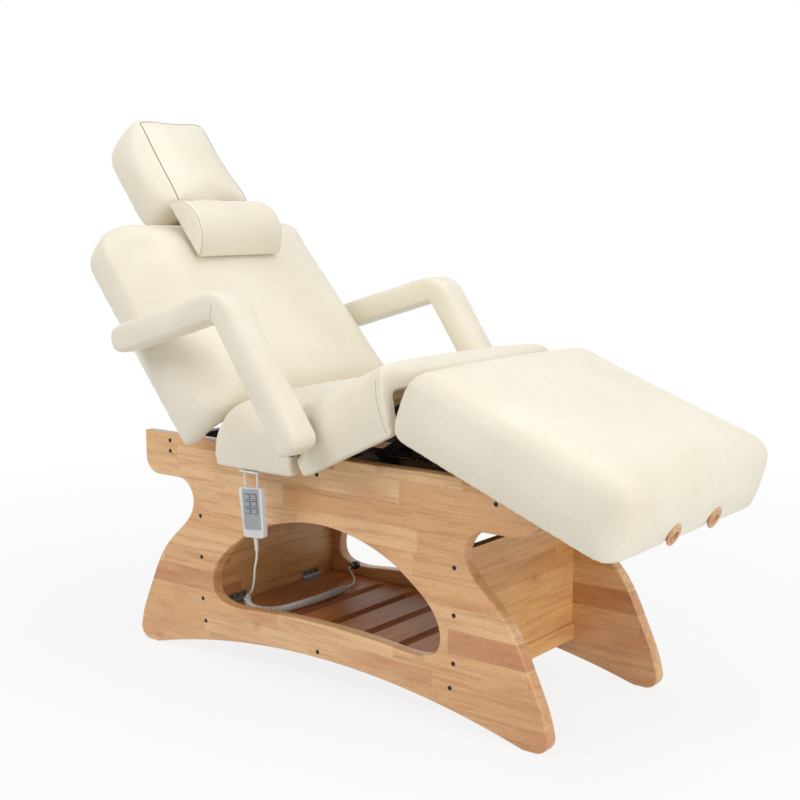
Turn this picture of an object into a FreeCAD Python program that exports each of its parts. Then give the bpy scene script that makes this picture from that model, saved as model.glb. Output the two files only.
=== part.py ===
"""Electric massage table: wooden base, fixed seat, hinged back, thigh and leg sections (millimetres)."""
import FreeCAD
import Part
import math
import os

V = FreeCAD.Vector
Y_AXIS = V(0, 1, 0)

# Base panels: outline sizes, +X towards the foot end, floor at Z = 0
PANEL_OUTER_Y = 259.0
PANEL_THICK = 34.0
PANEL_TOP_Z = 563.0
PANEL_HALF_LENGTH = 595.0
DRAWN_HALF_LENGTH = 595.0
LENGTH_SHARE = PANEL_HALF_LENGTH / DRAWN_HALF_LENGTH
EAR_UNDERSIDE_Z = 452.0
EAR_ROUND = 45.0
ARCH_HALF_SPAN = 570.0 * LENGTH_SHARE
ARCH_RISE = 76.0
FOOT_FLAT_END_X = 600.0 * LENGTH_SHARE
LEG_EDGE = [(476, 452), (437, 437), (421, 400), (440, 352), (482, 312), (530, 264), (592, 150),
            (626, 68), (634, 33)]
OPENING_SIDE = [(235, 337), (303, 287), (345, 236), (354, 200), (345, 168), (315, 152), (255, 148)]
OPENING_TOP_Z = 399.0
OPENING_SILL_Z = 161.0

# Shelf and end boards between the panels
BOARD_OUTER_X = 401.0 * LENGTH_SHARE
BOARD_THICK = 22.0
BOARD_TOP_Z = 397.0
RAIL_PROUD = 6.0
RAIL_BOTTOM_Z = 82.0
SHELF_TOP_Z = 122.0
SHELF_THICK = 20.0
SLOT_COUNT = 6
SLOT_PITCH = 116.0 * LENGTH_SHARE
SLOT_WIDTH = 30.0
SLOT_HALF_LENGTH = 195.0
MID_RAIL_WIDTH = 40.0
HINGE_YS = (-150.0, 128.0)
HINGE_WIDTH = 64.0
HINGE_LEAF = 16.0
HINGE_THICK = 2.0
HINGE_PIN_R = 3.0

# Steel top frame and the fixed pivots
TUBE = 25.0
FRAME_RAIL_Z0 = 513.0
FRAME_RAIL_Z1 = 553.0
FRAME_HALF_LENGTH = 560.0 * LENGTH_SHARE
CROSS_X = FRAME_HALF_LENGTH - 60.0
PIVOT_Z = 590.0
BACK_PIVOT_X = -283.4
HIP_X = 12.0
SECTION_RAIL_Y = 178.0
PLATE_GAP = 3.0
PLATE_THICK = 6.0
PLATE_LUG_R = 10.0
SHAFT_R = 8.0
PIN_R = 6.0
RUN = 0.05
SLEEVE_WALL = 4.0
TORQUE_R = 10.0
LINK_TUBE_X = -52.0
LINK_TUBE_Z = 466.0
LINK_TUBE_R = 12.0
BEAM_X = 160.0
BEAM_Z0 = 450.0
BEAM_Z1 = 480.0
DECK_THICK = 3.0
DECK_SLOT_Y = 127.0
DECK_SLOT_WIDTH = 20.0
DECK_SLOT_X1 = 330.0
DECK_X0 = 60.0
DECK_X1 = 480.0

# Cushions: shared sizes
CUSHION_HALF_Y = 350.0
SKIRT = 40.0
SIDE_BULGE = 5.0
PLY = 15.0
BOARD_CLEAR = 0.5
SEAT_X0 = -252.0
SEAT_X1 = -1.0
SEAT_Z0 = 523.0
SEAT_Z1 = 690.0
SEAT_REAR_ROUND = 140.0
CROWN = 12.0
TOP_EDGE_ROUND = 45.0
CUT_PAST = 1.0
HEM_ROUND = 6.0
SEAT_HEM_ROUND = 8.0
MEETING_ROUND = 12.0
MITRE_LIFT = 2.0

# Back section, drawn flat, then raised about its pivot
BACK_RAISED = 51.1
BACK_END_X = -295.5
BACK_LENGTH = 594.0
BACK_Z0 = 514.0
BACK_Z1 = 690.0
BACK_CORNER_ROUND = 65.0
BACK_TOP_ROUND = 105.0
BACK_REAR_ROUND = 70.0
BACK_FRONT_ROUND = 40.0
BACK_PLAN_ROUND = 25.0
BACK_LEVER_R = 80.0
BACK_LEVER_Y = -60.0
LEVER_THICK = 8.0
LEVER_WIDTH = 24.0

# Headrest, its rods and the neck bolster, in the flat back's frame
HEAD_GAP = 17.0
HEAD_LENGTH = 286.0
HEAD_HALF_Y = 142.0
HEAD_Z0 = 551.0
HEAD_Z1 = 706.0
HEAD_CROWN = 8.0
HEAD_EDGE_ROUND = 24.0
HEAD_FRONT_ROUND = 34.0
HEAD_REAR_ROUND = 68.0
HEAD_TOP_PLAN_ROUND = 54.0
HEAD_LOW_PLAN_ROUND = 40.0
ROD_R = 9.0
ROD_Y = 95.0
ROD_Z = 587.0
ROD_IN_HEAD = 120.0
ROD_IN_SOCKET = 180.0
SOCKET_R = 13.0
SOCKET_LENGTH = 190.0
BOLSTER_LENGTH = 293.0
BOLSTER_Y = -39.0
BOLSTER_HEIGHT = 178.0
BOLSTER_DEPTH = 66.0
BOLSTER_LOW = 174.0
SOFT_GAP = 0.5
TAB_THICK = 2.0
TAB_WIDTH = 100.0
TAB_REACH = 75.0
TAB_LAP = 30.0

# Thigh section, drawn flat, then raised about the hip shaft
THIGH_RAISED = 25.5
THIGH_X0 = 1.0
THIGH_FRONT_LOW_X = 290.0
THIGH_FRONT_HIGH_X = 330.0
THIGH_Z0 = 525.0
THIGH_Z1 = 678.0
THIGH_TOP_ROUND = 36.0
THIGH_LOW_ROUND = 20.0
THIGH_LEVER_R = 80.0
THIGH_LEVER_Y = 60.0

# Leg section, drawn flat, then folded about the knee
LEG_SLOPE = 20.8
KNEE_X = 315.9
LEG_X0 = 336.0
LEG_LENGTH = 569.0
LEG_Z0 = 521.0
LEG_Z1 = 690.0
LEG_CROWN = 14.0
LEG_KNEE_ROUND = 40.0
LEG_KNEE_TOP_ROUND = 62.0
LEG_FOOT_TOP_ROUND = 70.0
LEG_KNEE_PLAN_ROUND = 20.0
LEG_FOOT_PLAN_ROUND = 60.0
LEG_RAIL_Y = 150.0
LEG_LEVER_R = 60.0
LEG_LEVER_Y = 134.0
LINK_Y = 123.0
LINK_THICK = 8.0
LINK_EYE_R = 8.0
LINK_PIN_R = 5.0
END_RAIL_THICK = 30.0
ROSETTE_R = 22.5
ROSETTE_PROUD = 12.0
ROSETTE_SPIGOT_R = 15.0
ROSETTE_BORE_R = 9.05
ROSETTE_LENGTH = 82.0
ROSETTE_UP = 26.0
ROSETTE_TURNING = [(0, 0), (0, 1), (0.5, 1), (0.7, 0.85), (0.55, 0.72), (1, 0.58), (1, 0)]

# Linear actuators
ACTUATOR_R = 21.0
ACTUATOR_TUBE_R = 15.0
ACTUATOR_ROD_R = 10.0
MOTOR_R = 24.0
MOTOR_LENGTH = 120.0
FORK_THICK = 6.0
SLOT_CLEAR = 1.0
BACK_ROD_SWINGS = 2
KNEE_ROD_SWINGS = 3

# Padded arms, drawn as they stand
ARM_INNER_Y = CUSHION_HALF_Y + 10.0
ARM_WIDTH = 88.0
ARM_EDGE_ROUND = 15.0
ARM_CORNERS = [(-507, 846, 33), (-116, 959, 80), (115, 624, 24), (55, 583, 18), (-148, 878, 8),
               (-492, 777, 33)]
ARM_BRACKET_TOP = (46.0, 660.0)
ARM_BRACKET_R = 14.0
BRACKET_Y0 = CUSHION_HALF_Y + 2.0

# Handset, hanging below the seat's near edge
HAND_X = -126.0 * LENGTH_SHARE
HAND_Y = 11.0 - CUSHION_HALF_Y
HAND_Z = 426.0
HAND_TILT = -5.0
HAND_WIDTH = 76.0
HAND_HEIGHT = 118.0
HAND_DEPTH = 12.0
HAND_ROUND = 9.0
HAND_TAPER = 5.0
KEYPAD_WIDTH = 46.0
KEYPAD_HEIGHT = 88.0
KEYPAD_THICK = 2.0
KEYPAD_UP = 8.0
BUTTON_ROWS = 3
BUTTON_WIDTH = 15.0
BUTTON_HEIGHT = 11.0
BUTTON_PITCH_X = 21.0
BUTTON_PITCH_Z = 17.0
BUTTON_TOP_UP = 38.0
BUTTON_PROUD = 2.0
BUTTON_BURIED = 5.0
BUTTON_TRAVEL = 1.5
BUTTON_GAP = 0.3
HANGER_R = 2.6
HANGER_HALF = 20.0
CLIP_MARGIN = 8.0
CLIP_THICK = 3.0
RELIEF_R = 5.0
RELIEF_LENGTH = 32.0
RELIEF_LIP = 1.0

# Cord: hand-chosen route points
CORD_R = 3.0
CURL_OUTER_R = 10.0
BEND_SHARE = 0.45
HANG_ROUTE = [(-118.1, -339, 335.3), (-116, -339, 312), (-132, -334, 301), (-149, -318, 278),
              (-175, -291, 251), (-206, -264, 222), (-240, -234, 194), (-273, -206, 168),
              (-312, -180, 158), (-314, -178, 141), (-304, -186, 133), (-288, -194, 133)]
CURL_ROUTE = [(-288, -194, 133), (-268, -201, 133), (-242, -200, 133), (-218, -184, 133),
              (-204, -156, 133), (-202, -112, 133), (-198, -50, 133), (-200, 10, 133), (-203, 55, 133),
              (-208, 86, 133)]
TAIL_ROUTE = [(-208, 86, 133), (-213, 112, 131), (-226, 140, 133), (-250, 162, 140), (-276, 176, 147),
              (-288, 188, 150), (-290, 198, 150)]
SOCKET_X = -290.0 * LENGTH_SHARE
SOCKET_Z = 150.0
SOCKET_BODY_R = 11.0
SOCKET_DEPTH = 12.0
PLUG_R = 7.0
PLUG_LENGTH = 15.0
CORD_NODES = ("cord_hang", "cord_curl", "cord_tail", "cord_plug", "cord_relief")

TINY = 1e-6
ARC_INSET = 1 - math.sqrt(0.5)

nodes = {}


def box(x0, x1, y0, y1, z0, z1):
    """Box from its limits."""
    return Part.makeBox(x1 - x0, y1 - y0, z1 - z0, V(x0, y0, z0))


def cyl_y(x, z, r, y0, y1):
    """Cylinder along Y."""
    return Part.makeCylinder(r, y1 - y0, V(x, y0, z), Y_AXIS)


def cyl_x(y, z, r, x0, x1):
    """Cylinder along X."""
    return Part.makeCylinder(r, x1 - x0, V(x0, y, z), V(1, 0, 0))


def square_x(y0, y1, z0, z1, x0, x1):
    """Square-edged bar along X, given by its section first."""
    return box(x0, x1, y0, y1, z0, z1)


def fused(shapes):
    """One solid from touching or overlapping shapes."""
    first = shapes[0]
    return first.multiFuse(shapes[1:]).removeSplitter()


def rounded_wire(corners, place):
    """Closed wire through (a, b, radius) corners, each rounded by a tangent arc."""
    count = len(corners)
    points = [V(a, b, 0) for a, b, _ in corners]
    starts = []
    arcs = []
    for i in range(count):
        here = points[i]
        back = (points[i - 1] - here).normalize()
        ahead = (points[(i + 1) % count] - here).normalize()
        radius = corners[i][2]
        if radius == 0:
            starts.append((here, here))
            arcs.append(None)
            continue
        half = back.getAngle(ahead) / 2
        reach = radius / math.tan(half)
        middle = (back + ahead).normalize()
        first = here + back * reach
        last = here + ahead * reach
        apex = here + middle * (radius / math.sin(half) - radius)
        starts.append((first, last))
        arcs.append((first, apex, last))
    edges = []
    for i in range(count):
        if arcs[i]:
            edges.append(Part.Arc(*[place(p) for p in arcs[i]]).toShape())
        a = place(starts[i][1])
        b = place(starts[(i + 1) % count][0])
        if (a - b).Length > TINY:
            edges.append(Part.LineSegment(a, b).toShape())
    return Part.Wire(edges)


def prism_y(corners, y0, y1):
    """Rounded XZ outline, extruded along Y."""
    wire = rounded_wire(corners, lambda p: V(p.x, y0, p.y))
    return Part.Face(wire).extrude(V(0, y1 - y0, 0))


def prism_z(corners, z0, z1):
    """Rounded XY outline, extruded along Z."""
    wire = rounded_wire(corners, lambda p: V(p.x, p.y, z0))
    return Part.Face(wire).extrude(V(0, 0, z1 - z0))


def pad_section(half_y, z0, z1, edge, crown, x0, x1):
    """Upholstered cross-section with bulged sides and a crowned top, extruded along X."""
    side = half_y - SIDE_BULGE
    shoulder = z1 - edge
    lift = edge * ARC_INSET
    left = [V(x0, -side, z0), V(x0, -half_y, (z0 + shoulder) / 2), V(x0, -side, shoulder)]
    left_top = [left[2], V(x0, -side + lift, z1 - lift), V(x0, -side + edge, z1)]
    right = [V(x0, -p.y, p.z) for p in left]
    right_top = [V(x0, -p.y, p.z) for p in left_top]
    edges = [Part.Arc(*left).toShape(), Part.Arc(*left_top).toShape(),
             Part.Arc(left_top[2], V(x0, 0, z1 + crown), right_top[2]).toShape(),
             Part.Arc(right_top[2], right_top[1], right_top[0]).toShape(),
             Part.Arc(right[2], right[1], right[0]).toShape(),
             Part.LineSegment(right[0], left[0]).toShape()]
    return Part.Face(Part.Wire(edges)).extrude(V(x1 - x0, 0, 0))


def pivot_capsule(ends, radius, y0, y1):
    """Flat link with round ends between two XZ points."""
    (ax, az), (bx, bz) = ends
    along = V(bx - ax, 0, bz - az)
    across = V(-along.z, 0, along.x).normalize() * radius
    a = V(ax, y0, az)
    b = V(bx, y0, bz)
    outward = along.normalize() * radius
    edges = [Part.LineSegment(a + across, b + across).toShape(),
             Part.Arc(b + across, b + outward, b - across).toShape(),
             Part.LineSegment(b - across, a - across).toShape(),
             Part.Arc(a - across, a - outward, a + across).toShape()]
    return Part.Face(Part.Wire(edges)).extrude(V(0, y1 - y0, 0))


def turn(shape, x, z, degrees):
    """Copy turned about a Y axis through (x, z); positive brings the top towards the foot end."""
    moved = shape.copy()
    moved.rotate(V(x, 0, z), Y_AXIS, degrees)
    return moved


def to_back(shape):
    """From the flat drawing to the raised back."""
    return turn(shape, BACK_PIVOT_X, PIVOT_Z, BACK_RAISED)


def to_thigh(shape):
    """From the flat drawing to the raised thigh."""
    return turn(shape, HIP_X, PIVOT_Z, -THIGH_RAISED)


def to_leg(shape):
    """From the flat drawing to the sloping leg, carried by the raised knee."""
    folded = turn(shape, KNEE_X, PIVOT_Z, THIGH_RAISED + LEG_SLOPE)
    return to_thigh(folded)


def mirrored_y(shape):
    """Copy on the far side."""
    return shape.mirror(V(0, 0, 0), Y_AXIS)


def cord_path(points):
    """Straight runs joined by tangent arcs as large as the runs allow; also gives the least radius."""
    route = [V(*p) for p in points]
    edges = []
    radii = []
    at = route[0]
    for i in range(1, len(route) - 1):
        back = route[i - 1] - route[i]
        ahead = route[i + 1] - route[i]
        reach = BEND_SHARE * min(back.Length, ahead.Length)
        half = back.getAngle(ahead) / 2
        radius = reach * math.tan(half)
        radii.append(radius)
        back.normalize()
        ahead.normalize()
        first = route[i] + back * reach
        last = route[i] + ahead * reach
        bisector = (back + ahead).normalize()
        apex = route[i] + bisector * (radius / math.sin(half) - radius)
        edges.append(Part.LineSegment(at, first).toShape())
        edges.append(Part.Arc(first, apex, last).toShape())
        at = last
    edges.append(Part.LineSegment(at, route[-1]).toShape())
    return Part.Wire(edges), radii


def cord_tube(points, radius, label):
    """Tube along a cord route, with its radii and volume printed."""
    path, radii = cord_path(points)
    heading = V(*points[1]) - V(*points[0])
    circle = Part.Wire(Part.Circle(V(*points[0]), heading, radius).toShape())
    tube = path.makePipeShell([circle], True, False)
    expected = math.pi * radius ** 2 * path.Length
    ratio = round(tube.Volume / expected, 4)
    print("cord", label, "least radius", round(min(radii), 1), "volume ratio", ratio)
    return tube


def side_panel():
    """Near base panel: arched foot, notched ends, rounded opening."""
    y0 = -PANEL_OUTER_Y
    right = Part.BSplineCurve()
    leg_edge = [(x * LENGTH_SHARE, z) for x, z in LEG_EDGE]
    right.interpolate([V(x, y0, z) for x, z in leg_edge])
    tip = leg_edge[-1]
    ear = EAR_ROUND * ARC_INSET
    top = V(PANEL_HALF_LENGTH, y0, PANEL_TOP_Z)
    ear_high = V(PANEL_HALF_LENGTH, y0, EAR_UNDERSIDE_Z + EAR_ROUND)
    ear_mid = V(PANEL_HALF_LENGTH - ear, y0, EAR_UNDERSIDE_Z + ear)
    ear_low = V(PANEL_HALF_LENGTH - EAR_ROUND, y0, EAR_UNDERSIDE_Z)
    tip_lift = tip[1] * ARC_INSET
    tip_run = tip[0] - FOOT_FLAT_END_X
    tip_mid = V(tip[0] - tip_run * ARC_INSET, y0, tip_lift)
    half = [Part.LineSegment(top, ear_high).toShape(),
            Part.Arc(ear_high, ear_mid, ear_low).toShape(),
            Part.LineSegment(ear_low, V(leg_edge[0][0], y0, leg_edge[0][1])).toShape(),
            right.toShape(),
            Part.Arc(V(tip[0], y0, tip[1]), tip_mid, V(FOOT_FLAT_END_X, y0, 0)).toShape(),
            Part.LineSegment(V(FOOT_FLAT_END_X, y0, 0), V(ARCH_HALF_SPAN, y0, 0)).toShape()]
    left = [edge.mirror(V(0, 0, 0), V(1, 0, 0)) for edge in half]
    arch = Part.Arc(V(ARCH_HALF_SPAN, y0, 0), V(0, y0, ARCH_RISE), V(-ARCH_HALF_SPAN, y0, 0)).toShape()
    crest = Part.LineSegment(V(-PANEL_HALF_LENGTH, y0, PANEL_TOP_Z), top).toShape()
    outline = Part.Wire(Part.__sortEdges__(half + left + [arch, crest]))
    panel = Part.Face(outline).extrude(V(0, PANEL_THICK, 0))
    return panel.cut(panel_opening(y0))


def panel_opening(y0):
    """Rounded opening of a base panel, as a cutting solid."""
    right = Part.BSplineCurve()
    opening = [(x * LENGTH_SHARE, z) for x, z in OPENING_SIDE]
    right.interpolate([V(x, y0, z) for x, z in opening])
    side = right.toShape()
    other = side.mirror(V(0, 0, 0), V(1, 0, 0))
    x_top, z_top = opening[0]
    x_low, z_low = opening[-1]
    top = Part.Arc(V(-x_top, y0, z_top), V(0, y0, OPENING_TOP_Z), V(x_top, y0, z_top)).toShape()
    sill = Part.Arc(V(-x_low, y0, z_low), V(0, y0, OPENING_SILL_Z), V(x_low, y0, z_low)).toShape()
    wire = Part.Wire(Part.__sortEdges__([side, other, top, sill]))
    return Part.Face(wire).extrude(V(0, PANEL_THICK, 0))


def make_base():
    """Wooden base: panels, end boards, shelf with routed slots and its fold hinges."""
    panel = side_panel()
    nodes["side_panel_near"] = panel
    nodes["side_panel_far"] = mirrored_y(panel)
    inner_y = PANEL_OUTER_Y - PANEL_THICK
    rail_x0 = BOARD_OUTER_X - BOARD_THICK
    rail_x1 = BOARD_OUTER_X + RAIL_PROUD
    for end, sign in (("head", -1), ("foot", 1)):
        board = box(rail_x0, BOARD_OUTER_X, -inner_y, inner_y, SHELF_TOP_Z, BOARD_TOP_Z)
        rail = box(rail_x0, rail_x1, -inner_y, inner_y, RAIL_BOTTOM_Z, SHELF_TOP_Z)
        hinges = Part.makeCompound([s for y in HINGE_YS for s in shelf_hinge(rail_x0, y)])
        if sign < 0:
            board, rail, hinges = [s.mirror(V(0, 0, 0), V(1, 0, 0)) for s in (board, rail, hinges)]
        nodes["end_board_" + end] = board
        nodes["shelf_rail_" + end] = rail
        nodes["shelf_hinges_" + end] = hinges
    shelf_z0 = SHELF_TOP_Z - SHELF_THICK
    shelf = box(-rail_x0, rail_x0, -inner_y, inner_y, shelf_z0, SHELF_TOP_Z)
    for i in range(SLOT_COUNT):
        x = (i - (SLOT_COUNT - 1) / 2) * SLOT_PITCH
        straight = SLOT_HALF_LENGTH - SLOT_WIDTH / 2
        slot = box(x - SLOT_WIDTH / 2, x + SLOT_WIDTH / 2, -straight, straight, shelf_z0, SHELF_TOP_Z)
        near_end = Part.makeCylinder(SLOT_WIDTH / 2, SHELF_THICK, V(x, -straight, shelf_z0))
        far_end = Part.makeCylinder(SLOT_WIDTH / 2, SHELF_THICK, V(x, straight, shelf_z0))
        shelf = shelf.cut(fused([slot, near_end, far_end]))
    nodes["shelf_panel"] = shelf
    mid_x = MID_RAIL_WIDTH / 2
    nodes["shelf_rail_mid"] = box(-mid_x, mid_x, -inner_y, inner_y, RAIL_BOTTOM_Z, shelf_z0)


def shelf_hinge(face_x, y):
    """Butt hinge in the corner of a foot-end board and the shelf: two leaves and a pin."""
    y0 = y - HINGE_WIDTH / 2
    y1 = y + HINGE_WIDTH / 2
    pin_x = face_x - HINGE_PIN_R
    pin_z = SHELF_TOP_Z + HINGE_PIN_R
    knuckle = 2 * HINGE_PIN_R
    leaf_x = face_x - knuckle
    leaf_z = SHELF_TOP_Z + knuckle
    upright = box(face_x - HINGE_THICK, face_x, y0, y1, leaf_z, leaf_z + HINGE_LEAF)
    flat = box(leaf_x - HINGE_LEAF, leaf_x, y0, y1, SHELF_TOP_Z, SHELF_TOP_Z + HINGE_THICK)
    pin = cyl_y(pin_x, pin_z, HINGE_PIN_R, y0, y1)
    return [upright, flat, pin]


def section_rail_ys(inner):
    """Near and far Y limits of a pair of section rails."""
    return ((-inner - TUBE, -inner), (inner, inner + TUBE))


def make_top_frame():
    """Steel frame bolted between the panels, its pivot plates, the hip shaft and the deck cover."""
    rail_y1 = PANEL_OUTER_Y - PANEL_THICK
    rail_y0 = rail_y1 - TUBE
    pieces = []
    for y0, y1 in ((-rail_y1, -rail_y0), (rail_y0, rail_y1)):
        pieces.append(square_x(y0, y1, FRAME_RAIL_Z0, FRAME_RAIL_Z1, -FRAME_HALF_LENGTH, FRAME_HALF_LENGTH))
        for x in (LINK_TUBE_X, BEAM_X):
            pieces.append(box(x - TUBE, x + TUBE, y0, y1, BEAM_Z0, FRAME_RAIL_Z0))
    for x in (-CROSS_X, CROSS_X):
        pieces.append(box(x - TUBE / 2, x + TUBE / 2, -rail_y0, rail_y0, FRAME_RAIL_Z0, FRAME_RAIL_Z1))
    pieces.append(box(BEAM_X - TUBE / 2, BEAM_X + TUBE / 2, -rail_y0, rail_y0, BEAM_Z0, BEAM_Z1))
    pieces.append(cyl_y(LINK_TUBE_X, LINK_TUBE_Z, LINK_TUBE_R, -rail_y0, rail_y0))
    pieces.append(tail_lug(BEAM_X - TUBE / 2, BACK_LEVER_Y, BEAM_Z0, back_pin_z()))
    pieces.append(tail_lug(-CROSS_X + TUBE / 2, THIGH_LEVER_Y, FRAME_RAIL_Z0 - TUBE, thigh_pin_z()))
    nodes["top_frame"] = fused(pieces)
    for side in ("near", "far"):
        carrier = seat_carrier()
        nodes["seat_carrier_" + side] = carrier if side == "near" else mirrored_y(carrier)
    nodes["hip_shaft"] = hip_shaft()
    deck = box(DECK_X0, DECK_X1, -rail_y1, rail_y1, FRAME_RAIL_Z1, FRAME_RAIL_Z1 + DECK_THICK)
    for y in (-DECK_SLOT_Y, DECK_SLOT_Y):
        slot = box(DECK_X0, DECK_SLOT_X1, y - DECK_SLOT_WIDTH / 2, y + DECK_SLOT_WIDTH / 2,
                   FRAME_RAIL_Z1, FRAME_RAIL_Z1 + DECK_THICK)
        deck = deck.cut(slot)
    nodes["deck_cover"] = deck


def tail_lug(face_x, y, z0, pin_z):
    """Upright lug that holds an actuator's tail."""
    half = LEVER_THICK
    return box(face_x - half, face_x + half, y - half, y + half, z0, pin_z + LEVER_WIDTH / 2)


def seat_carrier():
    """Near pivot plate with the seat's rail welded to it, and the back's pivot pin."""
    y1 = -(SECTION_RAIL_Y + TUBE + PLATE_GAP)
    y0 = y1 - PLATE_THICK
    x0 = BACK_PIVOT_X
    plate = box(x0, HIP_X, y0, y1, FRAME_RAIL_Z1, PIVOT_Z)
    lugs = [cyl_y(x, PIVOT_Z, PLATE_LUG_R, y0, y1) for x in (x0, HIP_X)]
    feet = [box(x - PLATE_LUG_R, x + PLATE_LUG_R, y0, y1, FRAME_RAIL_Z1, PIVOT_Z) for x in (x0, HIP_X)]
    rail = square_x(y1, y1 + TUBE, PIVOT_Z - TUBE / 2, PIVOT_Z + TUBE / 2, SEAT_X0 + PLY, SEAT_X1 - PLY)
    pin = cyl_y(x0, PIVOT_Z, PIN_R, y0, y1 + PLATE_GAP + TUBE)
    carrier = fused([plate, rail, pin] + lugs + feet)
    return carrier.cut(cyl_y(HIP_X, PIVOT_Z, SHAFT_R, y0, y1))


def hip_shaft():
    """Shaft across the whole table, with a head at each end that keeps the arm on."""
    reach = ARM_INNER_Y + SOFT_GAP
    shaft = cyl_y(HIP_X, PIVOT_Z, SHAFT_R, -reach, reach)
    head_r = SHAFT_R + SLEEVE_WALL
    near_head = cyl_y(HIP_X, PIVOT_Z, head_r, -reach - PLATE_THICK, -reach)
    far_head = cyl_y(HIP_X, PIVOT_Z, head_r, reach, reach + PLATE_THICK)
    return fused([shaft, near_head, far_head])


def board_z():
    """Lower and upper face of the plywood under each cushion."""
    low = PIVOT_Z + TUBE / 2
    return low, low + PLY


def pocket(x0, x1, z0):
    """Hollow under a cushion, between its side skirts and below its plywood."""
    half = CUSHION_HALF_Y - SKIRT
    return box(x0, x1, -half, half, z0, board_z()[1])


def plywood(x0, x1):
    """Plywood panel of one section, drawn flat."""
    low, high = board_z()
    half = CUSHION_HALF_Y - SKIRT - BOARD_CLEAR
    return box(x0, x1, -half, half, low, high)


def make_seat():
    """Fixed seat: plywood on its carriers, cushion with a rounded rear."""
    top = SEAT_Z1 + CROWN
    section = pad_section(CUSHION_HALF_Y, SEAT_Z0, SEAT_Z1, TOP_EDGE_ROUND, CROWN, SEAT_X0, SEAT_X1)
    round_z = top - SEAT_REAR_ROUND - CUT_PAST
    profile = prism_y([(SEAT_X0 + SIDE_BULGE, SEAT_Z0, SEAT_HEM_ROUND), (SEAT_X0, round_z, 0),
                       (SEAT_X0, top, SEAT_REAR_ROUND), (SEAT_X1, top, MEETING_ROUND),
                       (SEAT_X1, SEAT_Z0, HEM_ROUND)], -CUSHION_HALF_Y, CUSHION_HALF_Y)
    hollow = pocket(SEAT_X0 - CUT_PAST, SEAT_X1 + CUT_PAST, SEAT_Z0)
    cushion = section.common(profile).cut(hollow)
    nodes["seat_cushion"] = cushion
    nodes["seat_board"] = plywood(SEAT_X0 + PLY, SEAT_X1 - PLY)


def lever(x, radius, tilt, y, slot):
    """Lever hanging from a torque tube at (x, pivot height), with a radial slot for a drive pin."""
    tip_z = PIVOT_Z - radius
    y0 = y - LEVER_THICK / 2
    arm = pivot_capsule(((x, PIVOT_Z), (x, tip_z)), LEVER_WIDTH / 2, y0, y0 + LEVER_THICK)
    wide = LINK_PIN_R + SLOT_CLEAR
    hole = pivot_capsule(((x, tip_z), (x, tip_z + slot)), wide, y0, y0 + LEVER_THICK)
    return turn(arm.cut(hole), x, PIVOT_Z, tilt)


def back_pin_z():
    """Height of the back actuator's drive pin."""
    return PIVOT_Z - BACK_LEVER_R * math.cos(math.radians(BACK_RAISED / 2))


def thigh_pin_z():
    """Height of the knee actuator's drive pin."""
    return PIVOT_Z - THIGH_LEVER_R * math.cos(math.radians(THIGH_RAISED / 2))


def lever_slot(radius, swing):
    """How far a drive pin wanders along its lever over the swing."""
    return radius * (1 - math.cos(math.radians(swing / 2))) + SLOT_CLEAR


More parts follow.
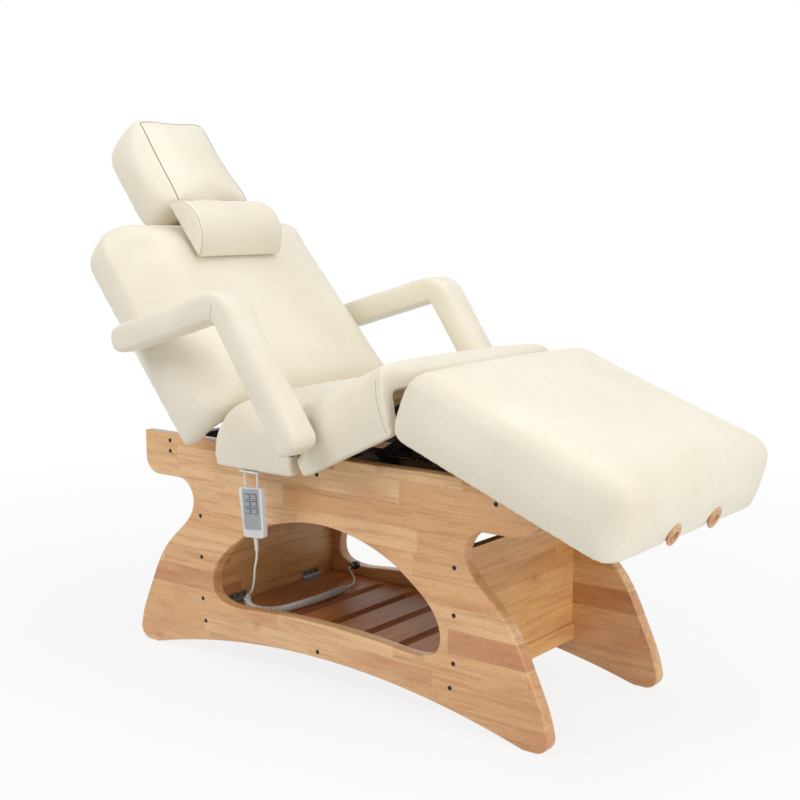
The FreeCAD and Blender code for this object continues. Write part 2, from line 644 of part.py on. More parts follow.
def make_back():
    """Raised back: welded frame with rod sockets and a drive lever, plywood, cushion."""
    z0 = PIVOT_Z - TUBE / 2
    z1 = PIVOT_Z + TUBE / 2
    top_x = BACK_END_X - BACK_LENGTH
    skirt_x = top_x + SKIRT
    pieces = []
    for y0, y1 in section_rail_ys(SECTION_RAIL_Y):
        pieces.append(square_x(y0, y1, z0, z1, skirt_x + PLY, BACK_PIVOT_X))
        pieces.append(cyl_y(BACK_PIVOT_X, PIVOT_Z, TUBE / 2, y0, y1))
    inner_x = top_x + SOCKET_LENGTH
    for x in (skirt_x + PLY, inner_x - TUBE, (inner_x + BACK_PIVOT_X) / 2):
        pieces.append(box(x, x + TUBE, -SECTION_RAIL_Y, SECTION_RAIL_Y, z0, z1))
    pieces.append(cyl_y(BACK_PIVOT_X, PIVOT_Z, TORQUE_R, -SECTION_RAIL_Y, SECTION_RAIL_Y))
    slot = lever_slot(BACK_LEVER_R, BACK_RAISED)
    pieces.append(lever(BACK_PIVOT_X, BACK_LEVER_R, -BACK_RAISED / 2, BACK_LEVER_Y, slot))
    for y in (-ROD_Y, ROD_Y):
        pieces.append(cyl_x(y, ROD_Z, SOCKET_R, top_x, inner_x))
    frame = fused(pieces)
    for y in (-ROD_Y, ROD_Y):
        frame = frame.cut(cyl_x(y, ROD_Z, ROD_R + RUN, top_x, inner_x))
    for y0, y1 in section_rail_ys(SECTION_RAIL_Y):
        frame = frame.cut(cyl_y(BACK_PIVOT_X, PIVOT_Z, PIN_R + RUN, y0, y1))
    top = BACK_Z1 + CROWN
    cut_x0 = top_x - CUT_PAST
    cut_x1 = BACK_END_X + CUT_PAST
    cut_z0 = BACK_Z0 - CUT_PAST
    cut_z1 = top + CUT_PAST
    half = CUSHION_HALF_Y + CUT_PAST
    section = pad_section(CUSHION_HALF_Y, BACK_Z0, BACK_Z1, TOP_EDGE_ROUND, CROWN, cut_x0, cut_x1)
    profile = prism_y([(top_x, cut_z0, BACK_REAR_ROUND), (top_x, cut_z1, BACK_TOP_ROUND),
                       (BACK_END_X, cut_z1, BACK_FRONT_ROUND), (BACK_END_X, cut_z0, HEM_ROUND)],
                      -half - CUT_PAST, half + CUT_PAST)
    plan = prism_z([(cut_x0, -half, BACK_CORNER_ROUND), (cut_x0, half, BACK_CORNER_ROUND),
                    (cut_x1, half, BACK_PLAN_ROUND), (cut_x1, -half, BACK_PLAN_ROUND)],
                   cut_z0 - CUT_PAST, cut_z1 + CUT_PAST)
    cushion = section.common(profile).common(plan).cut(pocket(skirt_x, BACK_END_X + CUT_PAST, BACK_Z0))
    for y in (-ROD_Y, ROD_Y):
        cushion = cushion.cut(cyl_x(y, ROD_Z, SOCKET_R + RUN, top_x, skirt_x))
    nodes["back_frame"] = to_back(frame)
    nodes["back_board"] = to_back(plywood(skirt_x + BOARD_CLEAR, BACK_END_X - PLY))
    nodes["back_cushion"] = to_back(cushion)


def make_headrest():
    """Headrest on two rods, and the half-round neck bolster held by a folded tab."""
    low_x = BACK_END_X - BACK_LENGTH - HEAD_GAP
    top_x = low_x - HEAD_LENGTH
    top = HEAD_Z1 + HEAD_CROWN
    half = HEAD_HALF_Y
    past = half + CUT_PAST
    cut_z0 = HEAD_Z0 - CUT_PAST
    cut_z1 = top + CUT_PAST
    cut_x0 = top_x - CUT_PAST
    cut_x1 = low_x + CUT_PAST
    section = pad_section(half, HEAD_Z0, HEAD_Z1, HEAD_EDGE_ROUND, HEAD_CROWN, cut_x0, cut_x1)
    profile = prism_y([(top_x, cut_z0, HEAD_REAR_ROUND), (top_x, cut_z1, HEAD_FRONT_ROUND),
                       (low_x, cut_z1, HEAD_FRONT_ROUND), (low_x, cut_z0, HEAD_REAR_ROUND)],
                      -past - CUT_PAST, past + CUT_PAST)
    plan = prism_z([(cut_x0, -past, HEAD_TOP_PLAN_ROUND), (cut_x0, past, HEAD_TOP_PLAN_ROUND),
                    (cut_x1, past, HEAD_LOW_PLAN_ROUND), (cut_x1, -past, HEAD_LOW_PLAN_ROUND)],
                   cut_z0 - CUT_PAST, cut_z1 + CUT_PAST)
    cushion = section.common(profile).common(plan)
    for side, y in (("near", -ROD_Y), ("far", ROD_Y)):
        rod = cyl_x(y, ROD_Z, ROD_R, low_x - ROD_IN_HEAD, low_x + HEAD_GAP + ROD_IN_SOCKET)
        cushion = cushion.cut(cyl_x(y, ROD_Z, ROD_R, low_x - ROD_IN_HEAD, low_x))
        nodes["headrest_rod_" + side] = to_back(rod)
    nodes["headrest_cushion"] = to_back(cushion)
    back_z = max(top, BACK_Z1 + CROWN) + SOFT_GAP
    x0 = BACK_END_X - BACK_LENGTH + BOLSTER_LOW
    x1 = x0 - BOLSTER_HEIGHT
    y0 = BOLSTER_Y - BOLSTER_LENGTH / 2
    wire = Part.Wire([Part.LineSegment(V(x1, y0, back_z), V(x0, y0, back_z)).toShape(),
                      Part.Arc(V(x0, y0, back_z), V((x0 + x1) / 2, y0, back_z + BOLSTER_DEPTH),
                               V(x1, y0, back_z)).toShape()])
    bolster = Part.Face(wire).extrude(V(0, BOLSTER_LENGTH, 0))
    nodes["neck_bolster"] = to_back(bolster)
    tab_y0 = BOLSTER_Y - TAB_WIDTH / 2
    tab_y1 = tab_y0 + TAB_WIDTH
    hung = box(low_x, low_x + TAB_THICK, tab_y0, tab_y1, back_z - TAB_REACH, back_z)
    lap = box(low_x, low_x + TAB_LAP, tab_y0, tab_y1, back_z - TAB_THICK, back_z)
    nodes["bolster_tab"] = to_back(fused([hung, lap]))


def make_thigh():
    """Raised thigh section: frame turning on the hip shaft, plywood, cushion."""
    z0 = PIVOT_Z - TUBE / 2
    z1 = PIVOT_Z + TUBE / 2
    sleeve_r = SHAFT_R + SLEEVE_WALL
    pieces = [cyl_y(HIP_X, PIVOT_Z, sleeve_r, -SECTION_RAIL_Y, SECTION_RAIL_Y)]
    for y0, y1 in section_rail_ys(SECTION_RAIL_Y):
        pieces.append(square_x(y0, y1, z0, z1, HIP_X, KNEE_X))
        pieces.append(cyl_y(HIP_X, PIVOT_Z, TUBE / 2, y0, y1))
        pieces.append(cyl_y(KNEE_X, PIVOT_Z, TUBE / 2, y0, y1))
        reach = y1 if y0 > 0 else y0
        pin_y = sorted((reach, math.copysign(LEG_RAIL_Y, y0)))
        pieces.append(cyl_y(KNEE_X, PIVOT_Z, PIN_R, pin_y[0], pin_y[1]))
    cross_x = THIGH_FRONT_LOW_X - 2 * TUBE
    pieces.append(box(cross_x, cross_x + TUBE, -SECTION_RAIL_Y, SECTION_RAIL_Y, z0, z1))
    slot = lever_slot(THIGH_LEVER_R, THIGH_RAISED)
    pieces.append(lever(HIP_X, THIGH_LEVER_R, THIGH_RAISED / 2, THIGH_LEVER_Y, slot))
    bore = cyl_y(HIP_X, PIVOT_Z, SHAFT_R + RUN, -SECTION_RAIL_Y - TUBE, SECTION_RAIL_Y + TUBE)
    nodes["thigh_frame"] = to_thigh(fused(pieces).cut(bore))
    top = THIGH_Z1 + CROWN
    lean = math.tan(math.radians(THIGH_RAISED))
    break_z = PIVOT_Z + MITRE_LIFT
    rear_top_x = THIGH_X0 + (top - break_z) * lean
    half = CUSHION_HALF_Y
    section = pad_section(half, THIGH_Z0, THIGH_Z1, TOP_EDGE_ROUND, CROWN, THIGH_X0, THIGH_FRONT_HIGH_X)
    profile = prism_y([(THIGH_X0, THIGH_Z0, HEM_ROUND), (THIGH_X0, break_z, 0),
                       (rear_top_x, top, MEETING_ROUND), (THIGH_FRONT_HIGH_X, top, THIGH_TOP_ROUND),
                       (THIGH_FRONT_LOW_X, THIGH_Z0, THIGH_LOW_ROUND)], -half, half)
    notch_r = sleeve_r + PLATE_GAP
    notch = fused([cyl_y(HIP_X, PIVOT_Z, notch_r, -half, half),
                   box(THIGH_X0 - TUBE, HIP_X, -half, half, PIVOT_Z - notch_r, PIVOT_Z + notch_r)])
    hollow = pocket(THIGH_X0 - CUT_PAST, THIGH_FRONT_HIGH_X + CUT_PAST, THIGH_Z0)
    nodes["thigh_cushion"] = to_thigh(section.common(profile).cut(hollow).cut(notch))
    nodes["thigh_board"] = to_thigh(plywood(HIP_X + TUBE, KNEE_X - TUBE))


def make_leg():
    """Leg section: frame on the knee pins, plywood, end rail with two rosettes, cushion."""
    z0 = PIVOT_Z - TUBE / 2
    z1 = PIVOT_Z + TUBE / 2
    foot_x = LEG_X0 + LEG_LENGTH
    skirt_x = foot_x - SKIRT
    end_x = skirt_x - END_RAIL_THICK
    pieces = [cyl_y(KNEE_X, PIVOT_Z, TORQUE_R, -LEG_RAIL_Y, LEG_RAIL_Y)]
    for y0, y1 in section_rail_ys(LEG_RAIL_Y):
        pieces.append(square_x(y0, y1, z0, z1, KNEE_X, end_x))
        pieces.append(cyl_y(KNEE_X, PIVOT_Z, TUBE / 2, y0, y1))
    mid_x = (LEG_X0 + end_x) / 2
    pieces.append(box(mid_x, mid_x + TUBE, -LEG_RAIL_Y, LEG_RAIL_Y, z0, z1))
    pin_z = PIVOT_Z - LEG_LEVER_R
    ends = ((KNEE_X, PIVOT_Z), (KNEE_X, pin_z))
    for y, out in ((-LEG_LEVER_Y, 1), (LEG_LEVER_Y, -1)):
        lever_y0 = y - PLATE_THICK / 2
        pieces.append(pivot_capsule(ends, LEVER_WIDTH / 2, lever_y0, lever_y0 + PLATE_THICK))
        y_pin = sorted((y, y + out * (PLATE_THICK + LINK_THICK + PLATE_GAP)))
        pieces.append(cyl_y(KNEE_X, pin_z, LINK_PIN_R, y_pin[0], y_pin[1]))
    frame = fused(pieces)
    for y0, y1 in section_rail_ys(LEG_RAIL_Y):
        frame = frame.cut(cyl_y(KNEE_X, PIVOT_Z, PIN_R + RUN, y0, y1))
    nodes["leg_frame"] = to_leg(frame)
    nodes["leg_board"] = to_leg(plywood(LEG_X0 + PLY, skirt_x - BOARD_CLEAR))
    half = CUSHION_HALF_Y - SKIRT - BOARD_CLEAR
    end_rail = box(end_x, skirt_x, -half, half, LEG_Z0 + SIDE_BULGE, board_z()[0])
    top = LEG_Z1 + LEG_CROWN
    cut_x0 = LEG_X0 - CUT_PAST
    cut_x1 = foot_x + CUT_PAST
    cut_z0 = LEG_Z0 - CUT_PAST
    cut_z1 = top + CUT_PAST
    wide = CUSHION_HALF_Y + CUT_PAST
    section = pad_section(CUSHION_HALF_Y, LEG_Z0, LEG_Z1, TOP_EDGE_ROUND, LEG_CROWN, cut_x0, cut_x1)
    profile = prism_y([(LEG_X0, cut_z0, LEG_KNEE_ROUND), (LEG_X0, cut_z1, LEG_KNEE_TOP_ROUND),
                       (foot_x, cut_z1, LEG_FOOT_TOP_ROUND), (foot_x, cut_z0, MEETING_ROUND)],
                      -wide - CUT_PAST, wide + CUT_PAST)
    plan = prism_z([(cut_x0, -wide, LEG_KNEE_PLAN_ROUND), (cut_x0, wide, LEG_KNEE_PLAN_ROUND),
                    (cut_x1, wide, LEG_FOOT_PLAN_ROUND), (cut_x1, -wide, LEG_FOOT_PLAN_ROUND)],
                   cut_z0 - CUT_PAST, cut_z1 + CUT_PAST)
    cushion = section.common(profile).common(plan).cut(pocket(cut_x0, skirt_x, LEG_Z0))
    rosette_z = LEG_Z0 + ROSETTE_UP
    for side, y in (("near", -ROD_Y), ("far", ROD_Y)):
        spigot = cyl_x(y, rosette_z, ROSETTE_SPIGOT_R, foot_x - (ROSETTE_LENGTH - ROSETTE_PROUD), foot_x)
        flange = rosette_flange(y, rosette_z, foot_x)
        bore = cyl_x(y, rosette_z, ROSETTE_BORE_R, foot_x - ROSETTE_LENGTH, foot_x + ROSETTE_PROUD)
        hole = cyl_x(y, rosette_z, ROSETTE_SPIGOT_R + RUN, end_x, foot_x)
        cushion = cushion.cut(hole)
        end_rail = end_rail.cut(hole)
        nodes["rosette_" + side] = to_leg(fused([spigot, flange]).cut(bore))
    nodes["leg_cushion"] = to_leg(cushion)
    nodes["leg_end_rail"] = to_leg(end_rail)


def rosette_flange(y, z, x):
    """Turned flange of a rod socket: a rim, a cove and a raised ring round the bore."""
    points = [V(x + a * ROSETTE_PROUD, y, z + b * ROSETTE_R) for a, b in ROSETTE_TURNING]
    face = Part.Face(Part.makePolygon(points + [points[0]]))
    return face.revolve(V(x, y, z), V(1, 0, 0), 360)


def knee_lever_pin():
    """XZ of the leg lever's pin at rest."""
    vertex = to_leg(Part.Vertex(V(KNEE_X, 0, PIVOT_Z - LEG_LEVER_R)))
    return vertex.X, vertex.Z


def make_links():
    """Pair of bars from the frame's low tube to the leg levers; they hold the leg as the knee rises."""
    bars = []
    pin_x, pin_z = knee_lever_pin()
    ends = ((LINK_TUBE_X, LINK_TUBE_Z), (pin_x, pin_z))
    for y0 in (-LINK_Y - LINK_THICK, LINK_Y):
        y1 = y0 + LINK_THICK
        bar = pivot_capsule(ends, LEVER_WIDTH / 2, y0, y1)
        ring = cyl_y(LINK_TUBE_X, LINK_TUBE_Z, LINK_TUBE_R + SLEEVE_WALL, y0, y1)
        tube_hole = cyl_y(LINK_TUBE_X, LINK_TUBE_Z, LINK_TUBE_R + RUN, y0, y1)
        pin_hole = cyl_y(pin_x, pin_z, LINK_EYE_R, y0, y1)
        bars.append(fused([bar, ring]).cut(tube_hole).cut(pin_hole))
    nodes["leg_link_near"] = bars[0]
    nodes["leg_link_far"] = bars[1]


def actuator(tail_x, front_x, y, z):
    """Motor housing, gearbox and outer tube of a linear actuator along X."""
    aim = 1 if front_x > tail_x else -1
    motor_end = tail_x + aim * MOTOR_LENGTH
    tail = cyl_x(y, z, ACTUATOR_R, *sorted((tail_x, motor_end)))
    tube = cyl_x(y, z, ACTUATOR_TUBE_R, *sorted((tail_x, front_x)))
    motor_x = (tail_x + aim * 2 * LEVER_THICK, motor_end + aim * LEVER_THICK)
    motor = cyl_x(y, z - ACTUATOR_R - MOTOR_R / 2, MOTOR_R, *sorted(motor_x))
    bore = cyl_x(y, z, ACTUATOR_ROD_R + RUN, *sorted((motor_end, front_x)))
    return fused([tail, tube, motor]).cut(bore)


def actuator_rod(inner_x, pin_x, y, z):
    """Push rod with a fork and drive pin that straddle a lever."""
    aim = 1 if pin_x > inner_x else -1
    crotch = pin_x - aim * LEVER_WIDTH
    half = LEVER_THICK / 2 + PLATE_GAP / 2
    rod = cyl_x(y, z, ACTUATOR_ROD_R, *sorted((inner_x, crotch)))
    yoke = box(*sorted((crotch - aim * FORK_THICK, crotch)), y - half - FORK_THICK, y + half + FORK_THICK,
               z - ACTUATOR_ROD_R, z + ACTUATOR_ROD_R)
    cheeks = []
    for y0 in (y - half - FORK_THICK, y + half):
        y1 = y0 + FORK_THICK
        cheeks.append(box(*sorted((crotch, pin_x)), y0, y1, z - ACTUATOR_ROD_R, z + ACTUATOR_ROD_R))
        cheeks.append(cyl_y(pin_x, z, ACTUATOR_ROD_R, y0, y1))
    pin = cyl_y(pin_x, z, LINK_PIN_R, y - half, y + half)
    return fused([rod, yoke, pin] + cheeks)


def make_actuators():
    """Back actuator on the beam and knee actuator on the head cross tube, with their rods."""
    swing = math.sin(math.radians(BACK_RAISED / 2)) * BACK_LEVER_R
    pin_x = BACK_PIVOT_X - swing
    front_x = BACK_PIVOT_X + swing + 2 * LEVER_WIDTH
    tail_x = BEAM_X - TUBE / 2 - LEVER_THICK
    nodes["back_actuator"] = actuator(tail_x, front_x, BACK_LEVER_Y, back_pin_z())
    nodes["back_actuator_rod"] = actuator_rod(front_x + BACK_ROD_SWINGS * swing, pin_x, BACK_LEVER_Y,
                                             back_pin_z())
    swing = math.sin(math.radians(THIGH_RAISED / 2)) * THIGH_LEVER_R
    pin_x = HIP_X + swing
    front_x = HIP_X - swing - 2 * LEVER_WIDTH
    tail_x = -CROSS_X + TUBE / 2 + LEVER_THICK
    nodes["knee_actuator"] = actuator(tail_x, front_x, THIGH_LEVER_Y, thigh_pin_z())
    nodes["knee_actuator_rod"] = actuator_rod(front_x - KNEE_ROD_SWINGS * swing, pin_x, THIGH_LEVER_Y,
                                             thigh_pin_z())


def make_arms():
    """Padded L-shaped arms on brackets that turn on the hip shaft."""
    pad = prism_y(ARM_CORNERS, -ARM_INNER_Y - ARM_WIDTH, -ARM_INNER_Y)
    rim = [e for e in pad.Edges if e.BoundBox.YLength < TINY]
    pad = pad.makeFillet(ARM_EDGE_ROUND, rim)
    plate = pivot_capsule(((HIP_X, PIVOT_Z), ARM_BRACKET_TOP), ARM_BRACKET_R, -ARM_INNER_Y, -BRACKET_Y0)
    plate = plate.cut(cyl_y(HIP_X, PIVOT_Z, SHAFT_R + RUN, -ARM_INNER_Y, -BRACKET_Y0))
    nodes["arm_pad_near"] = pad
    nodes["arm_pad_far"] = mirrored_y(pad)
    nodes["arm_bracket_near"] = plate
    nodes["arm_bracket_far"] = mirrored_y(plate)


def button_places():
    """Row, column and centre of each handset button, upright in the handset's own plane."""
    for row in range(BUTTON_ROWS):
        z = HAND_Z + BUTTON_TOP_UP - row * BUTTON_PITCH_Z
        for column, side in ((0, -1), (1, 1)):
            yield row, column, HAND_X + side * BUTTON_PITCH_X / 2, z


def to_hand(shape):
    """From upright to the slightly tilted handset."""
    return turn(shape, HAND_X, HAND_Z, HAND_TILT)


def make_handset():
    """Handset with a recessed keypad and six buttons, its hanger and strain relief."""
    front = HAND_Y - HAND_DEPTH / 2
    rear = HAND_Y + HAND_DEPTH / 2
    x0 = HAND_X - HAND_WIDTH / 2
    x1 = HAND_X + HAND_WIDTH / 2
    z0 = HAND_Z - HAND_HEIGHT / 2
    z1 = HAND_Z + HAND_HEIGHT / 2
    body = prism_y([(x0 + HAND_TAPER, z0, HAND_ROUND), (x1 - HAND_TAPER, z0, HAND_ROUND),
                    (x1, z1, HAND_ROUND), (x0, z1, HAND_ROUND)], front, rear)
    face_z = HAND_Z + KEYPAD_UP - KEYPAD_HEIGHT / 2
    pad_x0 = HAND_X - KEYPAD_WIDTH / 2
    keypad = box(pad_x0, pad_x0 + KEYPAD_WIDTH, front, front + KEYPAD_THICK, face_z, face_z + KEYPAD_HEIGHT)
    body = body.cut(keypad)
    buttons = {}
    wide = BUTTON_WIDTH / 2
    tall = BUTTON_HEIGHT / 2
    well_wide = wide + BUTTON_GAP
    well_tall = tall + BUTTON_GAP
    button_y0 = front - BUTTON_PROUD
    button_y1 = front + BUTTON_BURIED
    well_y = button_y1 + BUTTON_TRAVEL + BUTTON_GAP
    for row, column, x, z in button_places():
        name = "button_%d_%s" % (row + 1, ("up", "down")[column])
        buttons[name] = box(x - wide, x + wide, button_y0, button_y1, z - tall, z + tall)
        well = box(x - well_wide, x + well_wide, front, well_y, z - well_tall, z + well_tall)
        body = body.cut(well)
        keypad = keypad.cut(well)
    wires = []
    for x in (HAND_X - HANGER_HALF, HAND_X + HANGER_HALF):
        wires.append(Part.makeCylinder(HANGER_R, SEAT_Z0 - z1 + HANGER_R, V(x, HAND_Y, z1 - HANGER_R / 2)))
    relief = Part.makeCone(RELIEF_R, CORD_R + RELIEF_LIP, RELIEF_LENGTH, V(HAND_X, HAND_Y, z0), V(0, 0, -1))
    nodes["handset_housing"] = to_hand(body)
    nodes["handset_keypad"] = to_hand(keypad)
    for name, button in buttons.items():
        nodes[name] = to_hand(button)
    nodes["cord_relief"] = to_hand(relief)
    bar_x = HAND_X + math.tan(math.radians(HAND_TILT)) * (SEAT_Z0 - HAND_Z)
    clip_half = HANGER_HALF + CLIP_MARGIN
    clip = box(bar_x - clip_half, bar_x + clip_half, HAND_Y - CLIP_MARGIN, HAND_Y + CLIP_MARGIN,
               SEAT_Z0 - CLIP_THICK, SEAT_Z0)
    below = box(x0 - HAND_WIDTH, x1 + HAND_WIDTH, front, rear, z0, SEAT_Z0 - CLIP_THICK / 2)
    hung = [to_hand(wire).common(below).cut(to_hand(body)) for wire in wires]
    nodes["handset_hanger"] = fused([clip] + hung)


def stretched(route):
    """Route points that follow the length of the base."""
    return [(x * LENGTH_SHARE, y, z) for x, y, z in route]


def make_cord():
    """Cord from the handset down to the shelf, its curly stretch, the tail, plug and wall socket."""
    nodes["cord_hang"] = cord_tube(stretched(HANG_ROUTE), CORD_R, "hang")
    nodes["cord_curl"] = cord_tube(stretched(CURL_ROUTE), CURL_OUTER_R, "curl")
    nodes["cord_tail"] = cord_tube(stretched(TAIL_ROUTE), CORD_R, "tail")
    wall = PANEL_OUTER_Y - PANEL_THICK
    face = wall - SOCKET_DEPTH
    nodes["cord_socket"] = cyl_y(SOCKET_X, SOCKET_Z, SOCKET_BODY_R, face, wall)
    nodes["cord_plug"] = cyl_y(SOCKET_X, SOCKET_Z, PLUG_R, face - PLUG_LENGTH, face)


def main():
    """Build every piece, set the origin at the bottom centre and write the STEP files."""
    for make in (make_base, make_top_frame, make_seat, make_back, make_headrest, make_thigh, make_leg,
                 make_links, make_actuators, make_arms, make_handset, make_cord):
        make()
    whole = FreeCAD.BoundBox()
    for name, shape in nodes.items():
        if name not in CORD_NODES:
            whole.add(shape.optimalBoundingBox(False))
    shift = V(-whole.Center.x, -whole.Center.y, -whole.ZMin)
    size = (whole.XLength, whole.YLength, whole.ZLength)
    print("shift", [round(c, 4) for c in shift], "size", *[round(c, 2) for c in size])
    os.makedirs("parts", exist_ok=True)
    for name, shape in nodes.items():
        shape.translate(shift)
        if not shape.isValid():
            print("not valid", name)
        shape.exportStep("parts/" + name + ".step")
    print("nodes", len(nodes))


main()
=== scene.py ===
"""Massage table in its looks: upholstery, wood, steel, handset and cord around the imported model."""
import logging
import math
from dataclasses import dataclass, field
from enum import Enum
from typing import ClassVar, Iterable, Optional, Sequence, Union

import bmesh
import bpy
import numpy as np
from mathutils import Matrix, Vector
from mathutils.bvhtree import BVHTree


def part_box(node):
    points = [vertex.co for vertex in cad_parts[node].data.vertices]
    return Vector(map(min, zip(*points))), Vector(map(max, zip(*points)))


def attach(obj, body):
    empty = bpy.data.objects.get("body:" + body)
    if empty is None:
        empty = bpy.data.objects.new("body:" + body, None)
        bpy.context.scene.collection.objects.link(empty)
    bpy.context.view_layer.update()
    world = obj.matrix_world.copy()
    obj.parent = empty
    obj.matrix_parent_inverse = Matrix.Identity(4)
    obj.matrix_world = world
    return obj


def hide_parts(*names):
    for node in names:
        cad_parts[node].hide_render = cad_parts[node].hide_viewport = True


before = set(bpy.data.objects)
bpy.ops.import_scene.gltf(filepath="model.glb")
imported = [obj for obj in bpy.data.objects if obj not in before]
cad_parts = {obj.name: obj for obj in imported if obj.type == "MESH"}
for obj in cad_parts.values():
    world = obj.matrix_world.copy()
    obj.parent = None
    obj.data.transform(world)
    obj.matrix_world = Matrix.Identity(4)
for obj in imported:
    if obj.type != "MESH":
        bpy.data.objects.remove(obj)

LOG = logging.getLogger("massage_table")
Pair = tuple[float, float]
Point = tuple[float, float, float]
Color = tuple[float, float, float]
Object = bpy.types.Object
Mesh = bpy.types.Mesh
Material = bpy.types.Material
Socket = bpy.types.NodeSocket
Shape = bmesh.types.BMesh
Value = Union[float, Sequence[float], Socket]

MM = 0.001
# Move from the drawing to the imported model, in millimetres
SHIFT_X = 0.1227
SHIFT_Z = 0.0036
# Pivots of the sections in the flat drawing, in millimetres, and their angles at rest about +Y
PIVOT_Z = 590.0
BACK_X, BACK_TILT = -283.4, 51.1
THIGH_X, THIGH_TILT = 12.0, -25.5
KNEE_X, LEG_FOLD, LEG_TILT = 315.9, 46.3, 20.8
# Middle of each rosette from the middle of the table
ROSETTE_Y = 95.0
SIDES = (("near", -1), ("far", 1))
BUTTONS = tuple(f"button_{row}_{way}" for row in (1, 2, 3) for way in ("up", "down"))
BLACK: Color = (0.0, 0.0, 0.0)
WHITE: Color = (1.0, 1.0, 1.0)


def to_row(p: Point) -> Vector:
    """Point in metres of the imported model's frame.

    Args:
        p: point of the drawing, in millimetres, X from the middle of the base.

    Returns:
        The same point in metres.
    """
    return Vector(((p[0] + SHIFT_X) * MM, p[1] * MM, (p[2] + SHIFT_Z) * MM))


def raised(p: Point, pivot_x: float, degrees: float) -> Point:
    """Drawing point of a section drawn flat, turned about its pivot.

    Args:
        p: point of the flat drawing, in millimetres.
        pivot_x: X of the pivot.
        degrees: angle about +Y.

    Returns:
        The point as it stands at rest.
    """
    angle = math.radians(degrees)
    x, z = p[0] - pivot_x, p[2] - PIVOT_Z
    return (pivot_x + x * math.cos(angle) + z * math.sin(angle), p[1],
            PIVOT_Z - x * math.sin(angle) + z * math.cos(angle))


def on_back(p: Point) -> Point:
    """Drawing point of the flat back, raised to its rest."""
    return raised(p, BACK_X, BACK_TILT)


def on_thigh(p: Point) -> Point:
    """Drawing point of the flat thigh section, raised to its rest."""
    return raised(p, THIGH_X, THIGH_TILT)


def on_leg(p: Point) -> Point:
    """Drawing point of the flat leg section, folded to its rest."""
    return on_thigh(raised(p, KNEE_X, LEG_FOLD))


def tilted(degrees: float) -> Vector:
    """Up direction of a section turned about +Y by an angle."""
    angle = math.radians(degrees)
    return Vector((math.sin(angle), 0.0, math.cos(angle)))


def between(a: Point, b: Point, steps: int) -> list[Point]:
    """Points from a towards b, without b itself."""
    return [tuple(p + (q - p) * k / steps for p, q in zip(a, b)) for k in range(steps)]


class Axis(Enum):
    """Axis that a wooden piece's grain or a cylinder follows."""

    X = "X"
    Y = "Y"
    Z = "Z"


